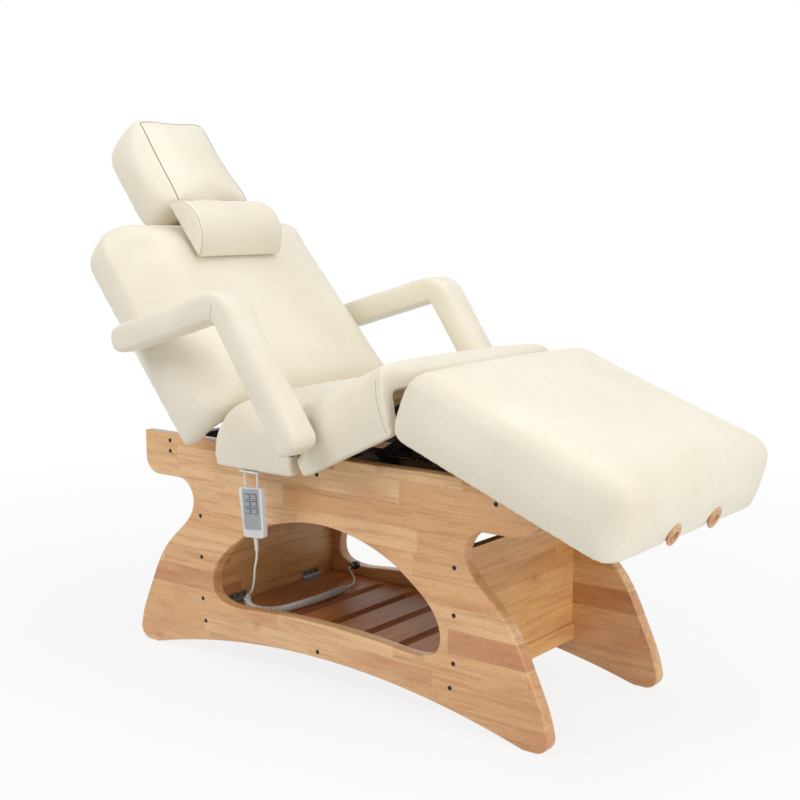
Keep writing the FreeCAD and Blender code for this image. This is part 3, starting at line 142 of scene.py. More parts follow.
class Sketch:
    """Short-hand for drawing the nodes of a material or of the world."""

    # Places of the colours among a mix node's sockets
    MIX_A, MIX_B, MIX_OUT = 6, 7, 2

    def __init__(self, owner: Union[Material, bpy.types.World]) -> None:
        """Start with the owner's own nodes.

        Args:
            owner: material or world.
        """
        owner.use_nodes = True
        self.owner = owner
        self.tree = owner.node_tree

    def node(self, kind: str, inputs: Optional[dict] = None, **props) -> bpy.types.Node:
        """Add a node.

        Args:
            kind: node type without its ShaderNode prefix.
            inputs: socket name or index to a value or an output socket.
            props: node properties.

        Returns:
            The new node.
        """
        made = self.tree.nodes.new("ShaderNode" + kind)
        for key, value in props.items():
            setattr(made, key, value)
        for key, value in (inputs or {}).items():
            self.feed(made.inputs[key], value)
        return made

    def feed(self, socket: Socket, value: Value) -> None:
        """Link an output to a socket, or set the socket's value.

        Args:
            socket: input socket.
            value: output socket, number or colour.
        """
        if isinstance(value, Socket):
            self.tree.links.new(value, socket)
        else:
            socket.default_value = value

    def math(self, operation: str, a: Value, b: Value = 0.0, c: Value = 0.0) -> Socket:
        """Output of a math node on up to three values."""
        return self.node("Math", {0: a, 1: b, 2: c}, operation=operation).outputs[0]

    def vector(self, x: Value, y: Value, z: Value = 0.0) -> Socket:
        """Vector of three values."""
        return self.node("CombineXYZ", {0: x, 1: y, 2: z}).outputs[0]

    def place(self) -> Socket:
        """Object coordinates, in metres."""
        return self.node("TexCoord").outputs["Object"]

    def noise(self, vector: Socket, scale: float = 1.0, detail: float = 2.0, rough: float = 0.5) -> Socket:
        """Grey noise at a vector."""
        made = self.node("TexNoise", {"Vector": vector, "Scale": scale, "Detail": detail, "Roughness": rough})
        return made.outputs[0]

    def ramp(self, fac: Socket, stops: Sequence[tuple[float, Color]]) -> Socket:
        """Colour ramp over a grey value.

        Args:
            fac: grey value.
            stops: place and colour of each stop.

        Returns:
            The colour.
        """
        made = self.node("ValToRGB", {"Fac": fac})
        elements = made.color_ramp.elements
        while len(elements) < len(stops):
            elements.new(0.5)
        for element, (at, color) in zip(elements, stops):
            element.position = at
            element.color = (*color, 1.0)
        return made.outputs["Color"]

    def span(self, fac: Socket, low: float, high: float) -> Socket:
        """Grey value mapped from 0..1 to low..high."""
        return self.node("MapRange", {"Value": fac, "To Min": low, "To Max": high}).outputs[0]

    def mix(self, fac: Value, a: Value, b: Value, blend: str = "MIX") -> Socket:
        """Mix of two colours.

        Args:
            fac: share of the second colour.
            a: first colour.
            b: second colour.
            blend: how the second colour goes over the first.

        Returns:
            The mixed colour.
        """
        made = self.node("Mix", {0: fac}, data_type="RGBA", blend_type=blend)
        for key, value in ((self.MIX_A, a), (self.MIX_B, b)):
            self.feed(made.inputs[key], value if isinstance(value, Socket) else (*value, 1.0))
        return made.outputs[self.MIX_OUT]

    def bump(self, height: Socket, strength: float, distance: float, onto: Optional[Socket] = None) -> Socket:
        """Bump normal of a height.

        Args:
            height: height of the surface.
            strength: share of the bump that shows.
            distance: depth in metres.
            onto: normal that the bump goes over.

        Returns:
            The normal.
        """
        made = self.node("Bump", {"Height": height, "Strength": strength, "Distance": distance})
        if onto is not None:
            self.feed(made.inputs["Normal"], onto)
        return made.outputs["Normal"]

    def seen(self) -> Socket:
        """One for rays from the camera, from a reflection or through glass."""
        ray = self.node("LightPath").outputs
        passed = self.math("MAXIMUM", ray["Is Glossy Ray"], ray["Is Transmission Ray"])
        return self.math("MAXIMUM", ray["Is Camera Ray"], passed)

    def shader(self) -> bpy.types.Node:
        """Principled shader of the material."""
        return self.tree.nodes["Principled BSDF"]

    def set(self, **values: Value) -> None:
        """Set the shader's sockets by name, with underscores for spaces."""
        for key, value in values.items():
            self.feed(self.shader().inputs[key.replace("_", " ")], value)


@dataclass(frozen=True)
class LeatherFinish:
    """Coated upholstery leather with a fine pebble grain.

    Attributes:
        name: material name.
        light: paler tone.
        deep: darker tone.
        grain: scale of the pebbles.
        gloss: lowest and highest roughness.
        cloud: scale of the broad tones.
        fleck: scale of the fine tones.
        fleck_share: share of the fine tones.
        crease: scale of the soft creases.
    """

    name: str
    light: Color
    deep: Color
    grain: float = 620.0
    gloss: Pair = (0.36, 0.5)
    cloud: float = 5.0
    fleck: float = 140.0
    fleck_share: float = 0.25
    crease: float = 26.0

    def make(self) -> Material:
        """Draw the material."""
        s = Sketch(bpy.data.materials.new(self.name))
        at = s.place()
        fine = s.noise(at, self.fleck, detail=3.0)
        broad = s.math("MULTIPLY", s.noise(at, self.cloud, detail=4.0), 1.0 - self.fleck_share)
        tone = s.ramp(s.math("MULTIPLY_ADD", fine, self.fleck_share, broad), ((0.3, self.deep), (0.62, self.light)))
        pebble = s.node("TexVoronoi", {"Vector": at, "Scale": self.grain, "Smoothness": 0.6}, feature="SMOOTH_F1")
        soft = s.bump(s.noise(at, self.crease, detail=5.0, rough=0.6), strength=0.18, distance=0.004)
        normal = s.bump(pebble.outputs["Distance"], strength=0.35, distance=0.0004, onto=soft)
        s.set(Base_Color=tone, Roughness=s.span(fine, *self.gloss), Specular_IOR_Level=0.4, Normal=normal,
              Sheen_Weight=0.06, Sheen_Roughness=0.4)
        return s.owner


@dataclass(frozen=True)
class WoodFinish:
    """Varnished board glued up from finger-jointed staves.

    Attributes:
        name: material name.
        grain: axis along the staves.
        across: axis across the staves.
        stave: width of a stave, in metres.
        length: length of a stave, in metres.
        coat: weight of the varnish.
        shine: specular level.
        tones: colours of the staves, from dark to pale.
        patch: colour of the reddish patches.
        knot: colour of the knots.
        glue: colour of the joints.
        finger: half the pitch of the finger joints, in metres.
        finger_depth: depth of the fingers as a share of that.
        scatter: how far apart the grain of two staves is taken from.
        streak: grain along, across and through the board.
        pore: pores along, across and through the board.
        cloud: patches along, across and through the board.
        knots: knots along, across and through the board.
        seam: width of the joints between rows and of the butts, as shares of a stave.
    """

    name: str
    grain: Axis
    across: Axis
    stave: float = 0.052
    length: float = 0.36
    coat: float = 0.3
    shine: float = 0.5
    tones: tuple[Color, ...] = (
        (0.62, 0.29, 0.125), (0.70, 0.355, 0.15), (0.77, 0.43, 0.192), (0.82, 0.485, 0.23), (0.86, 0.54, 0.272))
    patch: Color = (0.58, 0.225, 0.085)
    knot: Color = (0.36, 0.15, 0.06)
    glue: Color = (0.2, 0.09, 0.035)
    finger: float = 0.0045
    finger_depth: float = 1.1
    scatter: float = 40.0
    streak: Point = (5.0, 75.0, 75.0)
    pore: Point = (90.0, 900.0, 900.0)
    cloud: Point = (3.2, 11.0, 6.0)
    knots: Point = (2.9, 4.2, 0.0)
    seam: Pair = (0.012, 0.0022)

    # Moves that keep the places along and across the staves above zero, in metres
    ALONG_START: ClassVar[float] = 5.0
    OVER_START: ClassVar[float] = 3.0
    # Most staves by which a row is shifted
    ROW_SHIFT: ClassVar[float] = 7.0

    def make(self) -> Material:
        """Draw the material."""
        s = Sketch(bpy.data.materials.new(self.name))
        split = s.node("SeparateXYZ", {0: s.place()}).outputs
        third = next(axis for axis in Axis if axis not in (self.grain, self.across))
        place = [split[axis.value] for axis in (self.grain, self.across, third)]
        rows, run, pick = self.staves(s, place[0], place[1])
        offset = s.math("MULTIPLY", pick, self.scatter)
        streak = s.noise(self.stretch(s, place, self.streak, offset), detail=6.0, rough=0.62)
        pores = s.noise(self.stretch(s, place, self.pore))
        clouds = s.noise(self.stretch(s, place, self.cloud, offset), detail=3.0)
        color = self.figure(s, pick, streak)
        patch = s.ramp(clouds, ((0.5, BLACK), (0.72, WHITE)))
        color = s.mix(s.math("MULTIPLY", patch, 0.62), color, self.patch)
        color = s.mix(self.knot_share(s, place, streak), color, self.knot)
        flecks = s.ramp(pores, ((0.28, (0.55, 0.42, 0.32)), (0.44, WHITE)))
        color = s.mix(0.7, color, flecks, "MULTIPLY")
        joint = s.math("MAXIMUM", *(self.line(s, at, width) for at, width in zip((rows, run), self.seam)))
        color = s.mix(s.math("MULTIPLY", joint, 0.25), color, self.glue)
        groove = s.bump(joint, strength=-0.2, distance=0.0003)
        s.set(Base_Color=color, Roughness=s.span(streak, 0.28, 0.44),
              Normal=s.bump(pores, strength=0.12, distance=0.0003, onto=groove), Coat_Weight=self.coat,
              Coat_Roughness=0.18, Specular_IOR_Level=self.shine)
        return s.owner

    def staves(self, s: Sketch, along: Socket, over: Socket) -> tuple[Socket, Socket, Socket]:
        """Lay the staves out in shifted rows with finger joints.

        Args:
            s: sketch of the material.
            along: place along the grain.
            over: place across the grain.

        Returns:
            The place across in rows, the place along in staves, and a random value for each stave.
        """
        rows = s.math("DIVIDE", s.math("ADD", over, self.OVER_START), self.stave)
        row = s.math("FLOOR", rows)
        shift = s.node("TexWhiteNoise", {"W": row}, noise_dimensions="1D").outputs["Value"]
        fingers = s.math("MULTIPLY", s.math("PINGPONG", over, self.finger), self.finger_depth)
        run = s.math("ADD", s.math("ADD", along, self.ALONG_START), fingers)
        run = s.math("MULTIPLY_ADD", shift, self.ROW_SHIFT, s.math("DIVIDE", run, self.length))
        cell = s.vector(row, s.math("FLOOR", run))
        pick = s.node("TexWhiteNoise", {"Vector": cell}, noise_dimensions="2D").outputs["Value"]
        return rows, run, pick

    def figure(self, s: Sketch, pick: Socket, streak: Socket) -> Socket:
        """Colour of the staves with their streaks.

        Args:
            s: sketch of the material.
            pick: random value of each stave.
            streak: noise along the grain.

        Returns:
            The colour.
        """
        stops = [(k / (len(self.tones) - 1) * 0.9 + 0.02, tone) for k, tone in enumerate(self.tones)]
        board = s.ramp(s.math("POWER", pick, 0.62), stops)
        streaks = s.ramp(streak, ((0.28, (0.70, 0.58, 0.48)), (0.5, WHITE), (0.72, (1.1, 1.1, 1.08))))
        return s.mix(0.9, board, streaks, "MULTIPLY")

    def knot_share(self, s: Sketch, place: Sequence[Socket], streak: Socket) -> Socket:
        """Share of the knots' colour, in rings round each eye.

        Args:
            s: sketch of the material.
            place: places along, across and through the board.
            streak: noise along the grain, which frays the rings.

        Returns:
            The share.
        """
        cells = s.node("TexVoronoi", {"Vector": self.stretch(s, place, self.knots), "Scale": 1.0},
                       voronoi_dimensions="2D")
        near = s.math("MULTIPLY_ADD", streak, 0.02, cells.outputs["Distance"])
        eye = s.ramp(near, ((0.02, WHITE), (0.075, BLACK)))
        rings = s.math("MULTIPLY_ADD", s.math("SINE", s.math("MULTIPLY", near, 330.0)), 0.25, 0.36)
        return s.math("MULTIPLY", eye, rings)

    @staticmethod
    def stretch(s: Sketch, place: Sequence[Socket], scales: Point, offset: Value = 0.0) -> Socket:
        """Vector of the scaled places, the first two of them moved by an offset."""
        moves = (offset, offset, 0.0)
        return s.vector(*(s.math("MULTIPLY_ADD", at, scale, move) for at, scale, move in zip(place, scales, moves)))

    @staticmethod
    def line(s: Sketch, value: Socket, width: float) -> Socket:
        """One where a value is within a width of a whole number."""
        part = s.math("FRACT", value)
        return s.math("LESS_THAN", s.math("MINIMUM", part, s.math("SUBTRACT", 1.0, part)), width)


@dataclass(frozen=True)
class CoatFinish:
    """Painted, plated or moulded surface with a fine texture.

    Attributes:
        name: material name.
        color: its colour.
        rough: lowest and highest roughness.
        metal: how metallic it is.
        texture: scale of the fine texture.
        height: depth of the fine texture, in metres.
        coat: weight of a clear coat.
        cloud: scale of the worn tones.
        worn: worn colour as a share of the colour.
    """

    name: str
    color: Color
    rough: Pair = (0.35, 0.5)
    metal: float = 0.0
    texture: float = 700.0
    height: float = 0.00025
    coat: float = 0.0
    cloud: float = 14.0
    worn: float = 0.86

    def make(self) -> Material:
        """Draw the material."""
        s = Sketch(bpy.data.materials.new(self.name))
        at = s.place()
        fine = s.noise(at, self.texture, detail=3.0)
        cloud = s.noise(at, self.cloud, detail=4.0)
        worn = tuple(c * self.worn for c in self.color)
        tone = s.mix(s.ramp(cloud, ((0.35, BLACK), (0.7, WHITE))), worn, self.color)
        s.set(Base_Color=tone, Roughness=s.span(cloud, *self.rough), Metallic=self.metal, Coat_Weight=self.coat,
              Normal=s.bump(fine, strength=0.25, distance=self.height))
        return s.owner


@dataclass(frozen=True)
class PlyFinish:
    """Raw plywood with a rotary-cut figure.

    Attributes:
        name: material name.
        light: paler tone.
        deep: darker tone.
        stretch: scale of the figure along each axis.
    """

    name: str
    light: Color
    deep: Color
    stretch: Point = (4.0, 40.0, 40.0)

    def make(self) -> Material:
        """Draw the material."""
        s = Sketch(bpy.data.materials.new(self.name))
        stretched = s.node("Mapping", {"Vector": s.place(), "Scale": self.stretch}).outputs[0]
        figure = s.noise(stretched, detail=6.0, rough=0.6)
        s.set(Base_Color=s.ramp(figure, ((0.3, self.deep), (0.7, self.light))), Roughness=s.span(figure, 0.6, 0.8),
              Normal=s.bump(figure, strength=0.2, distance=0.0005))
        return s.owner


Finish = Union[LeatherFinish, WoodFinish, CoatFinish, PlyFinish]
IVORY = LeatherFinish("ivory_leather", (0.86, 0.805, 0.67), (0.80, 0.735, 0.59))
# Near-black seam colour for the headrest: painted shade of the seam's groove
DARK_SEAM_SHADE = LeatherFinish("dark_seam_shade", (0.10, 0.085, 0.05), (0.06, 0.05, 0.03), 900.0, (0.6, 0.8))
# Mid brown seam colour, darker than the leather: painted shade of the creases along the bolster, knee and elbow
# seams
PALE_SEAM_SHADE = LeatherFinish("pale_seam_shade", (0.50, 0.44, 0.33), (0.40, 0.34, 0.25), 900.0, (0.6, 0.8))
TAB_FABRIC = LeatherFinish("tab_fabric", (0.80, 0.75, 0.62), (0.72, 0.66, 0.53), 1100.0, (0.7, 0.85))
PANEL_WOOD = WoodFinish("panel_wood", Axis.X, Axis.Z)
BOARD_WOOD = WoodFinish("board_wood", Axis.Y, Axis.Z, coat=0.15, shine=0.35, tones=(
    (0.64, 0.28, 0.10), (0.73, 0.35, 0.125), (0.80, 0.425, 0.16), (0.85, 0.48, 0.19), (0.89, 0.53, 0.22)))
SHELF_WOOD = WoodFinish("shelf_wood", Axis.Y, Axis.X, stave=0.058, length=0.42, coat=0.02, shine=0.12, tones=(
    (0.40, 0.13, 0.038), (0.50, 0.195, 0.064), (0.58, 0.255, 0.09)))
TURNED_WOOD = WoodFinish("turned_wood", Axis.X, Axis.Z, stave=0.4, length=0.9, tones=(
    (0.62, 0.36, 0.19), (0.70, 0.44, 0.25)))
PLYWOOD = PlyFinish("plywood", (0.56, 0.40, 0.24), (0.42, 0.28, 0.15))
BLACK_STEEL = CoatFinish("black_steel", (0.016, 0.016, 0.017), (0.3, 0.46), texture=420.0, height=0.0004)
BRIGHT_STEEL = CoatFinish("bright_steel", (0.66, 0.66, 0.68), (0.16, 0.3), 1.0, 300.0, 0.00008)
HINGE_METAL = CoatFinish("hinge_metal", (0.34, 0.32, 0.31), (0.28, 0.42), 0.85, 500.0)
SCREW_DARK = CoatFinish("screw_dark", (0.05, 0.045, 0.042), (0.35, 0.5), 0.6, 500.0)
# Near-black bolt heads: black bolts, darkened further with painted shade of the recesses they sit in
BOLT_BLACK_AND_SHADE = CoatFinish("bolt_black_and_shade", (0.012, 0.009, 0.008), (0.5, 0.65), 0.2, 700.0)
BLACK_COVER = CoatFinish("black_cover", (0.012, 0.012, 0.013), (0.12, 0.22), texture=60.0, height=0.0006, coat=0.4)
ACTUATOR_PLASTIC = CoatFinish("actuator_plastic", (0.03, 0.03, 0.033), (0.45, 0.6), texture=900.0)
HANDSET_WHITE = CoatFinish("handset_white", (0.80, 0.80, 0.79), (0.38, 0.5), texture=1300.0)
KEYPAD_GREY = CoatFinish("keypad_grey", (0.42, 0.44, 0.46), (0.4, 0.52), texture=1600.0)
BUTTON_GREY = CoatFinish("button_grey", (0.38, 0.40, 0.42), (0.42, 0.55), texture=1600.0)
KEY_LINE = CoatFinish("key_line", (0.09, 0.10, 0.105), (0.45, 0.6), texture=1600.0)
HANGER_WIRE = CoatFinish("hanger_wire", (0.82, 0.82, 0.80), (0.4, 0.5), texture=600.0)
CORD_WHITE = CoatFinish("cord_white", (0.78, 0.78, 0.76), (0.36, 0.48), texture=900.0)
PLUG_BLACK = CoatFinish("plug_black", (0.02, 0.02, 0.021), (0.35, 0.5), texture=900.0)


class Palette:
    """Materials of the finishes, each made once."""

    def __init__(self) -> None:
        """Start with no materials."""
        self.made: dict[str, Material] = {}

    def get(self, finish: Finish) -> Material:
        """Material of a finish."""
        if finish.name not in self.made:
            self.made[finish.name] = finish.make()
        return self.made[finish.name]

    def dress(self, piece: Object, finish: Finish) -> None:
        """Give a piece one finish."""
        piece.data.materials.clear()
        piece.data.materials.append(self.get(finish))


PALETTE = Palette()


def new_piece(name: str, data: bpy.types.ID) -> Object:
    """Object of a mesh, curve, lamp or camera, in the scene.

    Args:
        name: piece name.
        data: what it shows.

    Returns:
        The new object.
    """
    piece = bpy.data.objects.new(name, data)
    bpy.context.scene.collection.objects.link(piece)
    return piece


def mesh_of(piece: Object) -> Mesh:
    """Mesh of an object with its modifiers applied.

    Args:
        piece: mesh or curve object.

    Returns:
        A new mesh.
    """
    bpy.context.view_layer.update()
    graph = bpy.context.evaluated_depsgraph_get()
    return bpy.data.meshes.new_from_object(piece.evaluated_get(graph), depsgraph=graph)


def taken(work: Object) -> Mesh:
    """Mesh of a work piece with its modifiers applied, after which the work piece goes.

    Args:
        work: mesh or curve object.

    Returns:
        A new mesh.
    """
    mesh = mesh_of(work)
    bpy.data.objects.remove(work)
    return mesh


def from_shape(name: str, shape: Shape, finishes: Sequence[Finish]) -> Object:
    """Piece of a finished shape, which is freed.

    Args:
        name: piece name.
        shape: its shape.
        finishes: finish of each material slot.

    Returns:
        The new piece.
    """
    mesh = bpy.data.meshes.new(name)
    shape.to_mesh(mesh)
    shape.free()
    for finish in finishes:
        mesh.materials.append(PALETTE.get(finish))
    return new_piece(name, mesh)


def new_curve(name: str, flat: bool = False) -> bpy.types.Curve:
    """Empty curve.

    Args:
        name: curve name.
        flat: whether it lies in one plane.

    Returns:
        The curve.
    """
    curve = bpy.data.curves.new(name, "CURVE")
    curve.dimensions = "2D" if flat else "3D"
    return curve


def add_line(curve: bpy.types.Curve, kind: str, places: Sequence[Sequence[float]]) -> bpy.types.Spline:
    """Add a line through or along points to a curve.

    Args:
        curve: the curve.
        kind: POLY or NURBS.
        places: its points.

    Returns:
        The new line.
    """
    line = curve.splines.new(kind)
    line.points.add(len(places) - 1)
    for point, place in zip(line.points, places):
        point.co = (*place, 1.0)
    return line


def smooth(mesh: Mesh) -> None:
    """Shade a mesh smooth."""
    mesh.polygons.foreach_set("use_smooth", [True] * len(mesh.polygons))


def soften(piece: Object, width: float, segments: int = 3, sharp: float = 50.0) -> None:
    """Round a piece's sharp edges with a bevel.

    Args:
        piece: object whose own mesh stays as it is.
        width: bevel width in metres.
        segments: steps of the round.
        sharp: angle in degrees from which an edge is rounded.
    """
    round_over = piece.modifiers.new("round", "BEVEL")
    round_over.width = width
    round_over.segments = segments
    round_over.limit_method = "ANGLE"
    round_over.angle_limit = math.radians(sharp)
    round_over.harden_normals = True


def settle(piece: Object, slot: str, body: str, *nodes: str) -> None:
    """Let a piece stand for nodes, and give it its body.

    Args:
        piece: the piece.
        slot: not used.
        body: body that it rides on.
        nodes: nodes that it replaces.
    """
    if nodes:
        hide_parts(*nodes)
    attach(piece, body)


def paint(made: dict, slot: int) -> None:
    """Give the faces of what was just added to a shape a material slot."""
    for face in {f for v in made["verts"] for f in v.link_faces}:
        face.material_index = slot


def add_block(shape: Shape, low: Point, high: Point, slot: int = 0) -> None:
    """Add a block.

    Args:
        shape: shape that it goes into.
        low: its lowest corner in the drawing.
        high: its highest corner in the drawing.
        slot: material slot.
    """
    a, b = to_row(low), to_row(high)
    size = Matrix.Diagonal((*(b - a), 1.0))
    paint(bmesh.ops.create_cube(shape, size=1.0, matrix=Matrix.Translation((a + b) / 2) @ size), slot)


def add_round(shape: Shape, centre: Point, axis: Axis, radius: float, length: float, slot: int = 0) -> None:
    """Add a cylinder, its sizes in millimetres.

    Args:
        shape: shape that it goes into.
        centre: its middle in the drawing.
        axis: its axis.
        radius: its radius.
        length: its length.
        slot: material slot.
    """
    aim = {Axis.X: Matrix.Rotation(math.pi / 2, 4, "Y"), Axis.Y: Matrix.Rotation(math.pi / 2, 4, "X"),
           Axis.Z: Matrix.Identity(4)}[axis]
    paint(bmesh.ops.create_cone(shape, cap_ends=True, segments=20, radius1=radius * MM, radius2=radius * MM,
                                depth=length * MM, matrix=Matrix.Translation(to_row(centre)) @ aim), slot)


@dataclass
class Upholstery:
    """Padded section: its solid's shape, swollen by cloth pressure over its board.

    Attributes:
        node: solid that the pad stands for.
        body: body that it rides on.
        up: direction of its top face.
        voxel: remesh size in metres.
        cap: furthest that the leather may swell, in metres.
        inset: how far the start shape lies inside, in metres.
        fill: how tight the pad is.
        pressure: cloth pressure.
        frames: length of the simulation.
        evening: smoothing steps of the swelling.
        rounding: smoothing steps of the shape before it swells.
        hem: height above the underside that keeps its edge, in metres.
        taper: share by which the pad narrows towards the head end.
        puff: how far the sides belly out half way up, in metres.
        lean: share by which the face is narrower than the underside at the head end.
        crisp: X and Z, in the drawing, round which the edges keep their shape.
        piece: the leather, once built.
    """

    node: str
    body: str
    up: Vector
    voxel: float = 0.008
    cap: float = 0.010
    inset: float = 0.003
    # fill: how tight the pad is; not used.
    fill: float = 0.85
    pressure: float = 4.0
    frames: int = 16
    evening: int = 24
    rounding: int = 12
    hem: float = 0.03
    taper: float = 0.0
    puff: float = 0.0
    lean: float = 0.0
    crisp: Optional[Pair] = None
    piece: Optional[Object] = None

    # Smoothing steps that take off the voxel stairs before the leather swells and after it
    STEPS_BEFORE: ClassVar[int] = 4
    STEPS_AFTER: ClassVar[int] = 2
    # Height over which the rounding sets in above the hem, in metres
    HEM_FADE: ClassVar[float] = 0.05
    # Distance from the crisp place up to which edges keep their shape, and over which that fades
    CRISP_REACH: ClassVar[float] = 0.06
    CRISP_FADE: ClassVar[float] = 0.12
    # How far one step of rounding or evening goes
    ROUND_SHARE: ClassVar[float] = 0.5
    EVEN_SHARE: ClassVar[float] = 0.6
    # Power by which the lean grows towards the head end
    LEAN_POWER: ClassVar[float] = 1.5
    # Slopes of the normal below which a face is the underside, or the side of a hollow
    UNDERSIDE: ClassVar[float] = -0.45
    HOLLOW_TOP: ClassVar[float] = 0.4
    HOLLOW_IN: ClassVar[float] = -0.02
    CLOTH: ClassVar[dict] = {"vertex_group_mass": "held", "quality": 4, "mass": 0.35, "tension_stiffness": 20,
                             "compression_stiffness": 20, "shear_stiffness": 10, "bending_stiffness": 2,
                             "use_pressure": True}

    def build(self) -> list[Object]:
        """Make the pad, dress it and set it on its body."""
        work = new_piece(self.node + "_work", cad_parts[self.node].data.copy())
        remesh = work.modifiers.new("remesh", "REMESH")
        remesh.mode = "VOXEL"
        remesh.voxel_size = self.voxel
        mesh = taken(work)
        self.piece = new_piece(self.node + "_leather", mesh)
        start, free = self.prepare(mesh)
        self.swell(start, free)
        self.finish(mesh)
        return [self.piece]

    def prepare(self, mesh: Mesh) -> tuple[np.ndarray, np.ndarray]:
        """Even out the remesh, shape it, inset it and mark what the board holds.

        Args:
            mesh: remeshed shape, changed in place.

        Returns:
            The start points, and a share from 0, held, to 1, free, for each.
        """
        self.relax(mesh, self.STEPS_BEFORE)
        up = np.array(self.up)
        points = self.rows(mesh, "co")
        height = points @ up
        share = np.clip((height - height.min() - self.hem) / self.HEM_FADE, 0.0, 1.0)
        rise = (height - height.min()) / np.ptp(height)
        if self.crisp:
            middle = to_row((self.crisp[0], 0.0, self.crisp[1]))
            away = np.hypot(points[:, 0] - middle.x, points[:, 2] - middle.z)
            share *= np.clip((away - self.CRISP_REACH) / self.CRISP_FADE, 0.0, 1.0)
        points = self.even(mesh, points, self.rounding, self.ROUND_SHARE * share[:, None])
        along = points @ np.array((-self.up.z, 0.0, self.up.x))
        along = (along - along.min()) / np.ptp(along)
        lean = self.lean * np.clip(2.0 * rise - 1.0, 0.0, 1.0) * along ** self.LEAN_POWER
        points[:, 1] *= 1.0 - self.taper * along - lean
        mesh.vertices.foreach_set("co", points.ravel())
        mesh.update()
        normals = self.rows(mesh, "normal")
        slope = normals @ up
        out = points - points.mean(axis=0)
        out -= np.outer(out @ up, up)
        inward = np.einsum("ij,ij->i", normals, out) < self.HOLLOW_IN
        held = (slope < self.UNDERSIDE) | (inward & (slope < self.HOLLOW_TOP))
        free = np.where(held, 0.0, 1.0)
        sideways = normals - np.outer(slope, up)
        belly = sideways * (self.puff * free * np.sin(np.pi * rise))[:, None]
        start = points + belly - normals * (self.inset * free)[:, None]
        mesh.vertices.foreach_set("co", start.ravel())
        return start, free

    @staticmethod
    def rows(mesh: Mesh, name: str) -> np.ndarray:
        """Values of the vertices, a row of three numbers for each.

        Args:
            mesh: the mesh.
            name: co for their places, or normal.

        Returns:
            The rows.
        """
        flat = np.empty(len(mesh.vertices) * 3)
        mesh.vertices.foreach_get(name, flat)
        return flat.reshape(-1, 3)

    @staticmethod
    def relax(mesh: Mesh, steps: int) -> None:
        """Take the voxel stairs off.

        Args:
            mesh: mesh, changed in place.
            steps: number of smoothing steps.
        """
        for _ in range(steps):
            shape = bmesh.new()
            shape.from_mesh(mesh)
            bmesh.ops.smooth_vert(shape, verts=shape.verts, factor=0.5, use_axis_x=True, use_axis_y=True,
                                  use_axis_z=True)
            shape.to_mesh(mesh)
            shape.free()
            mesh.update()

    def swell(self, start: np.ndarray, free: np.ndarray) -> None:
        """Blow the leather up with cloth pressure and keep the capped result.

        Args:
            start: points before the simulation.
            free: share of each point that may move.
        """
        group = self.piece.vertex_groups.new(name="held")
        group.add([int(i) for i in np.nonzero(free < 0.5)[0]], 1.0, "REPLACE")
        cloth = self.piece.modifiers.new("cloth", "CLOTH")
        for key, value in self.CLOTH.items():
            setattr(cloth.settings, key, value)
        cloth.settings.uniform_pressure_force = self.pressure
        cloth.settings.effector_weights.gravity = 0
        cloth.collision_settings.use_collision = False
        cloth.point_cache.frame_start = 1
        cloth.point_cache.frame_end = self.frames
        for step in range(1, self.frames + 1):
            bpy.context.scene.frame_set(step)
        move = self.rows(mesh_of(self.piece), "co") - start
        self.piece.modifiers.remove(cloth)
        bpy.context.scene.frame_set(1)
        far = np.linalg.norm(move, axis=1)
        move *= np.minimum(1.0, self.cap / np.maximum(far, 1e-9))[:, None]
        move = self.even(self.piece.data, move * free[:, None], self.evening, self.EVEN_SHARE)
        self.piece.data.vertices.foreach_set("co", (start + move).ravel())
        self.piece.vertex_groups.clear()
        LOG.info("%s swelled by up to %.1f mm", self.node, min(far.max(), self.cap) / MM)

    @staticmethod
    def even(mesh: Mesh, values: np.ndarray, steps: int, share: Union[float, np.ndarray]) -> np.ndarray:
        """Values averaged over each vertex's neighbours.

        Args:
            mesh: mesh whose edges join the neighbours.
            values: a row of three numbers for each vertex.
            steps: number of averaging steps.
            share: how far each step goes, for all or for each vertex.

        Returns:
            The averaged rows.
        """
        pairs = np.empty(len(mesh.edges) * 2, dtype=np.int64)
        mesh.edges.foreach_get("vertices", pairs)
        a, b = pairs.reshape(-1, 2).T
        size = len(values)
        count = np.maximum(np.bincount(pairs, minlength=size), 1)
        for _ in range(steps):
            around = np.stack([(np.bincount(a, values[b, k], size) + np.bincount(b, values[a, k], size)) / count
                               for k in range(3)], axis=1)
            values = values + share * (around - values)
        return values

    def finish(self, mesh: Mesh) -> None:
        """Smooth, subdivide, dress and set the pad on its body.

        Args:
            mesh: the leather's mesh.
        """
        self.relax(mesh, self.STEPS_AFTER)
        smooth(mesh)
        divide = self.piece.modifiers.new("divide", "SUBSURF")
        divide.levels = 1
        divide.render_levels = 1
        PALETTE.dress(self.piece, IVORY)
        settle(self.piece, "ivory_leather", self.body, self.node)


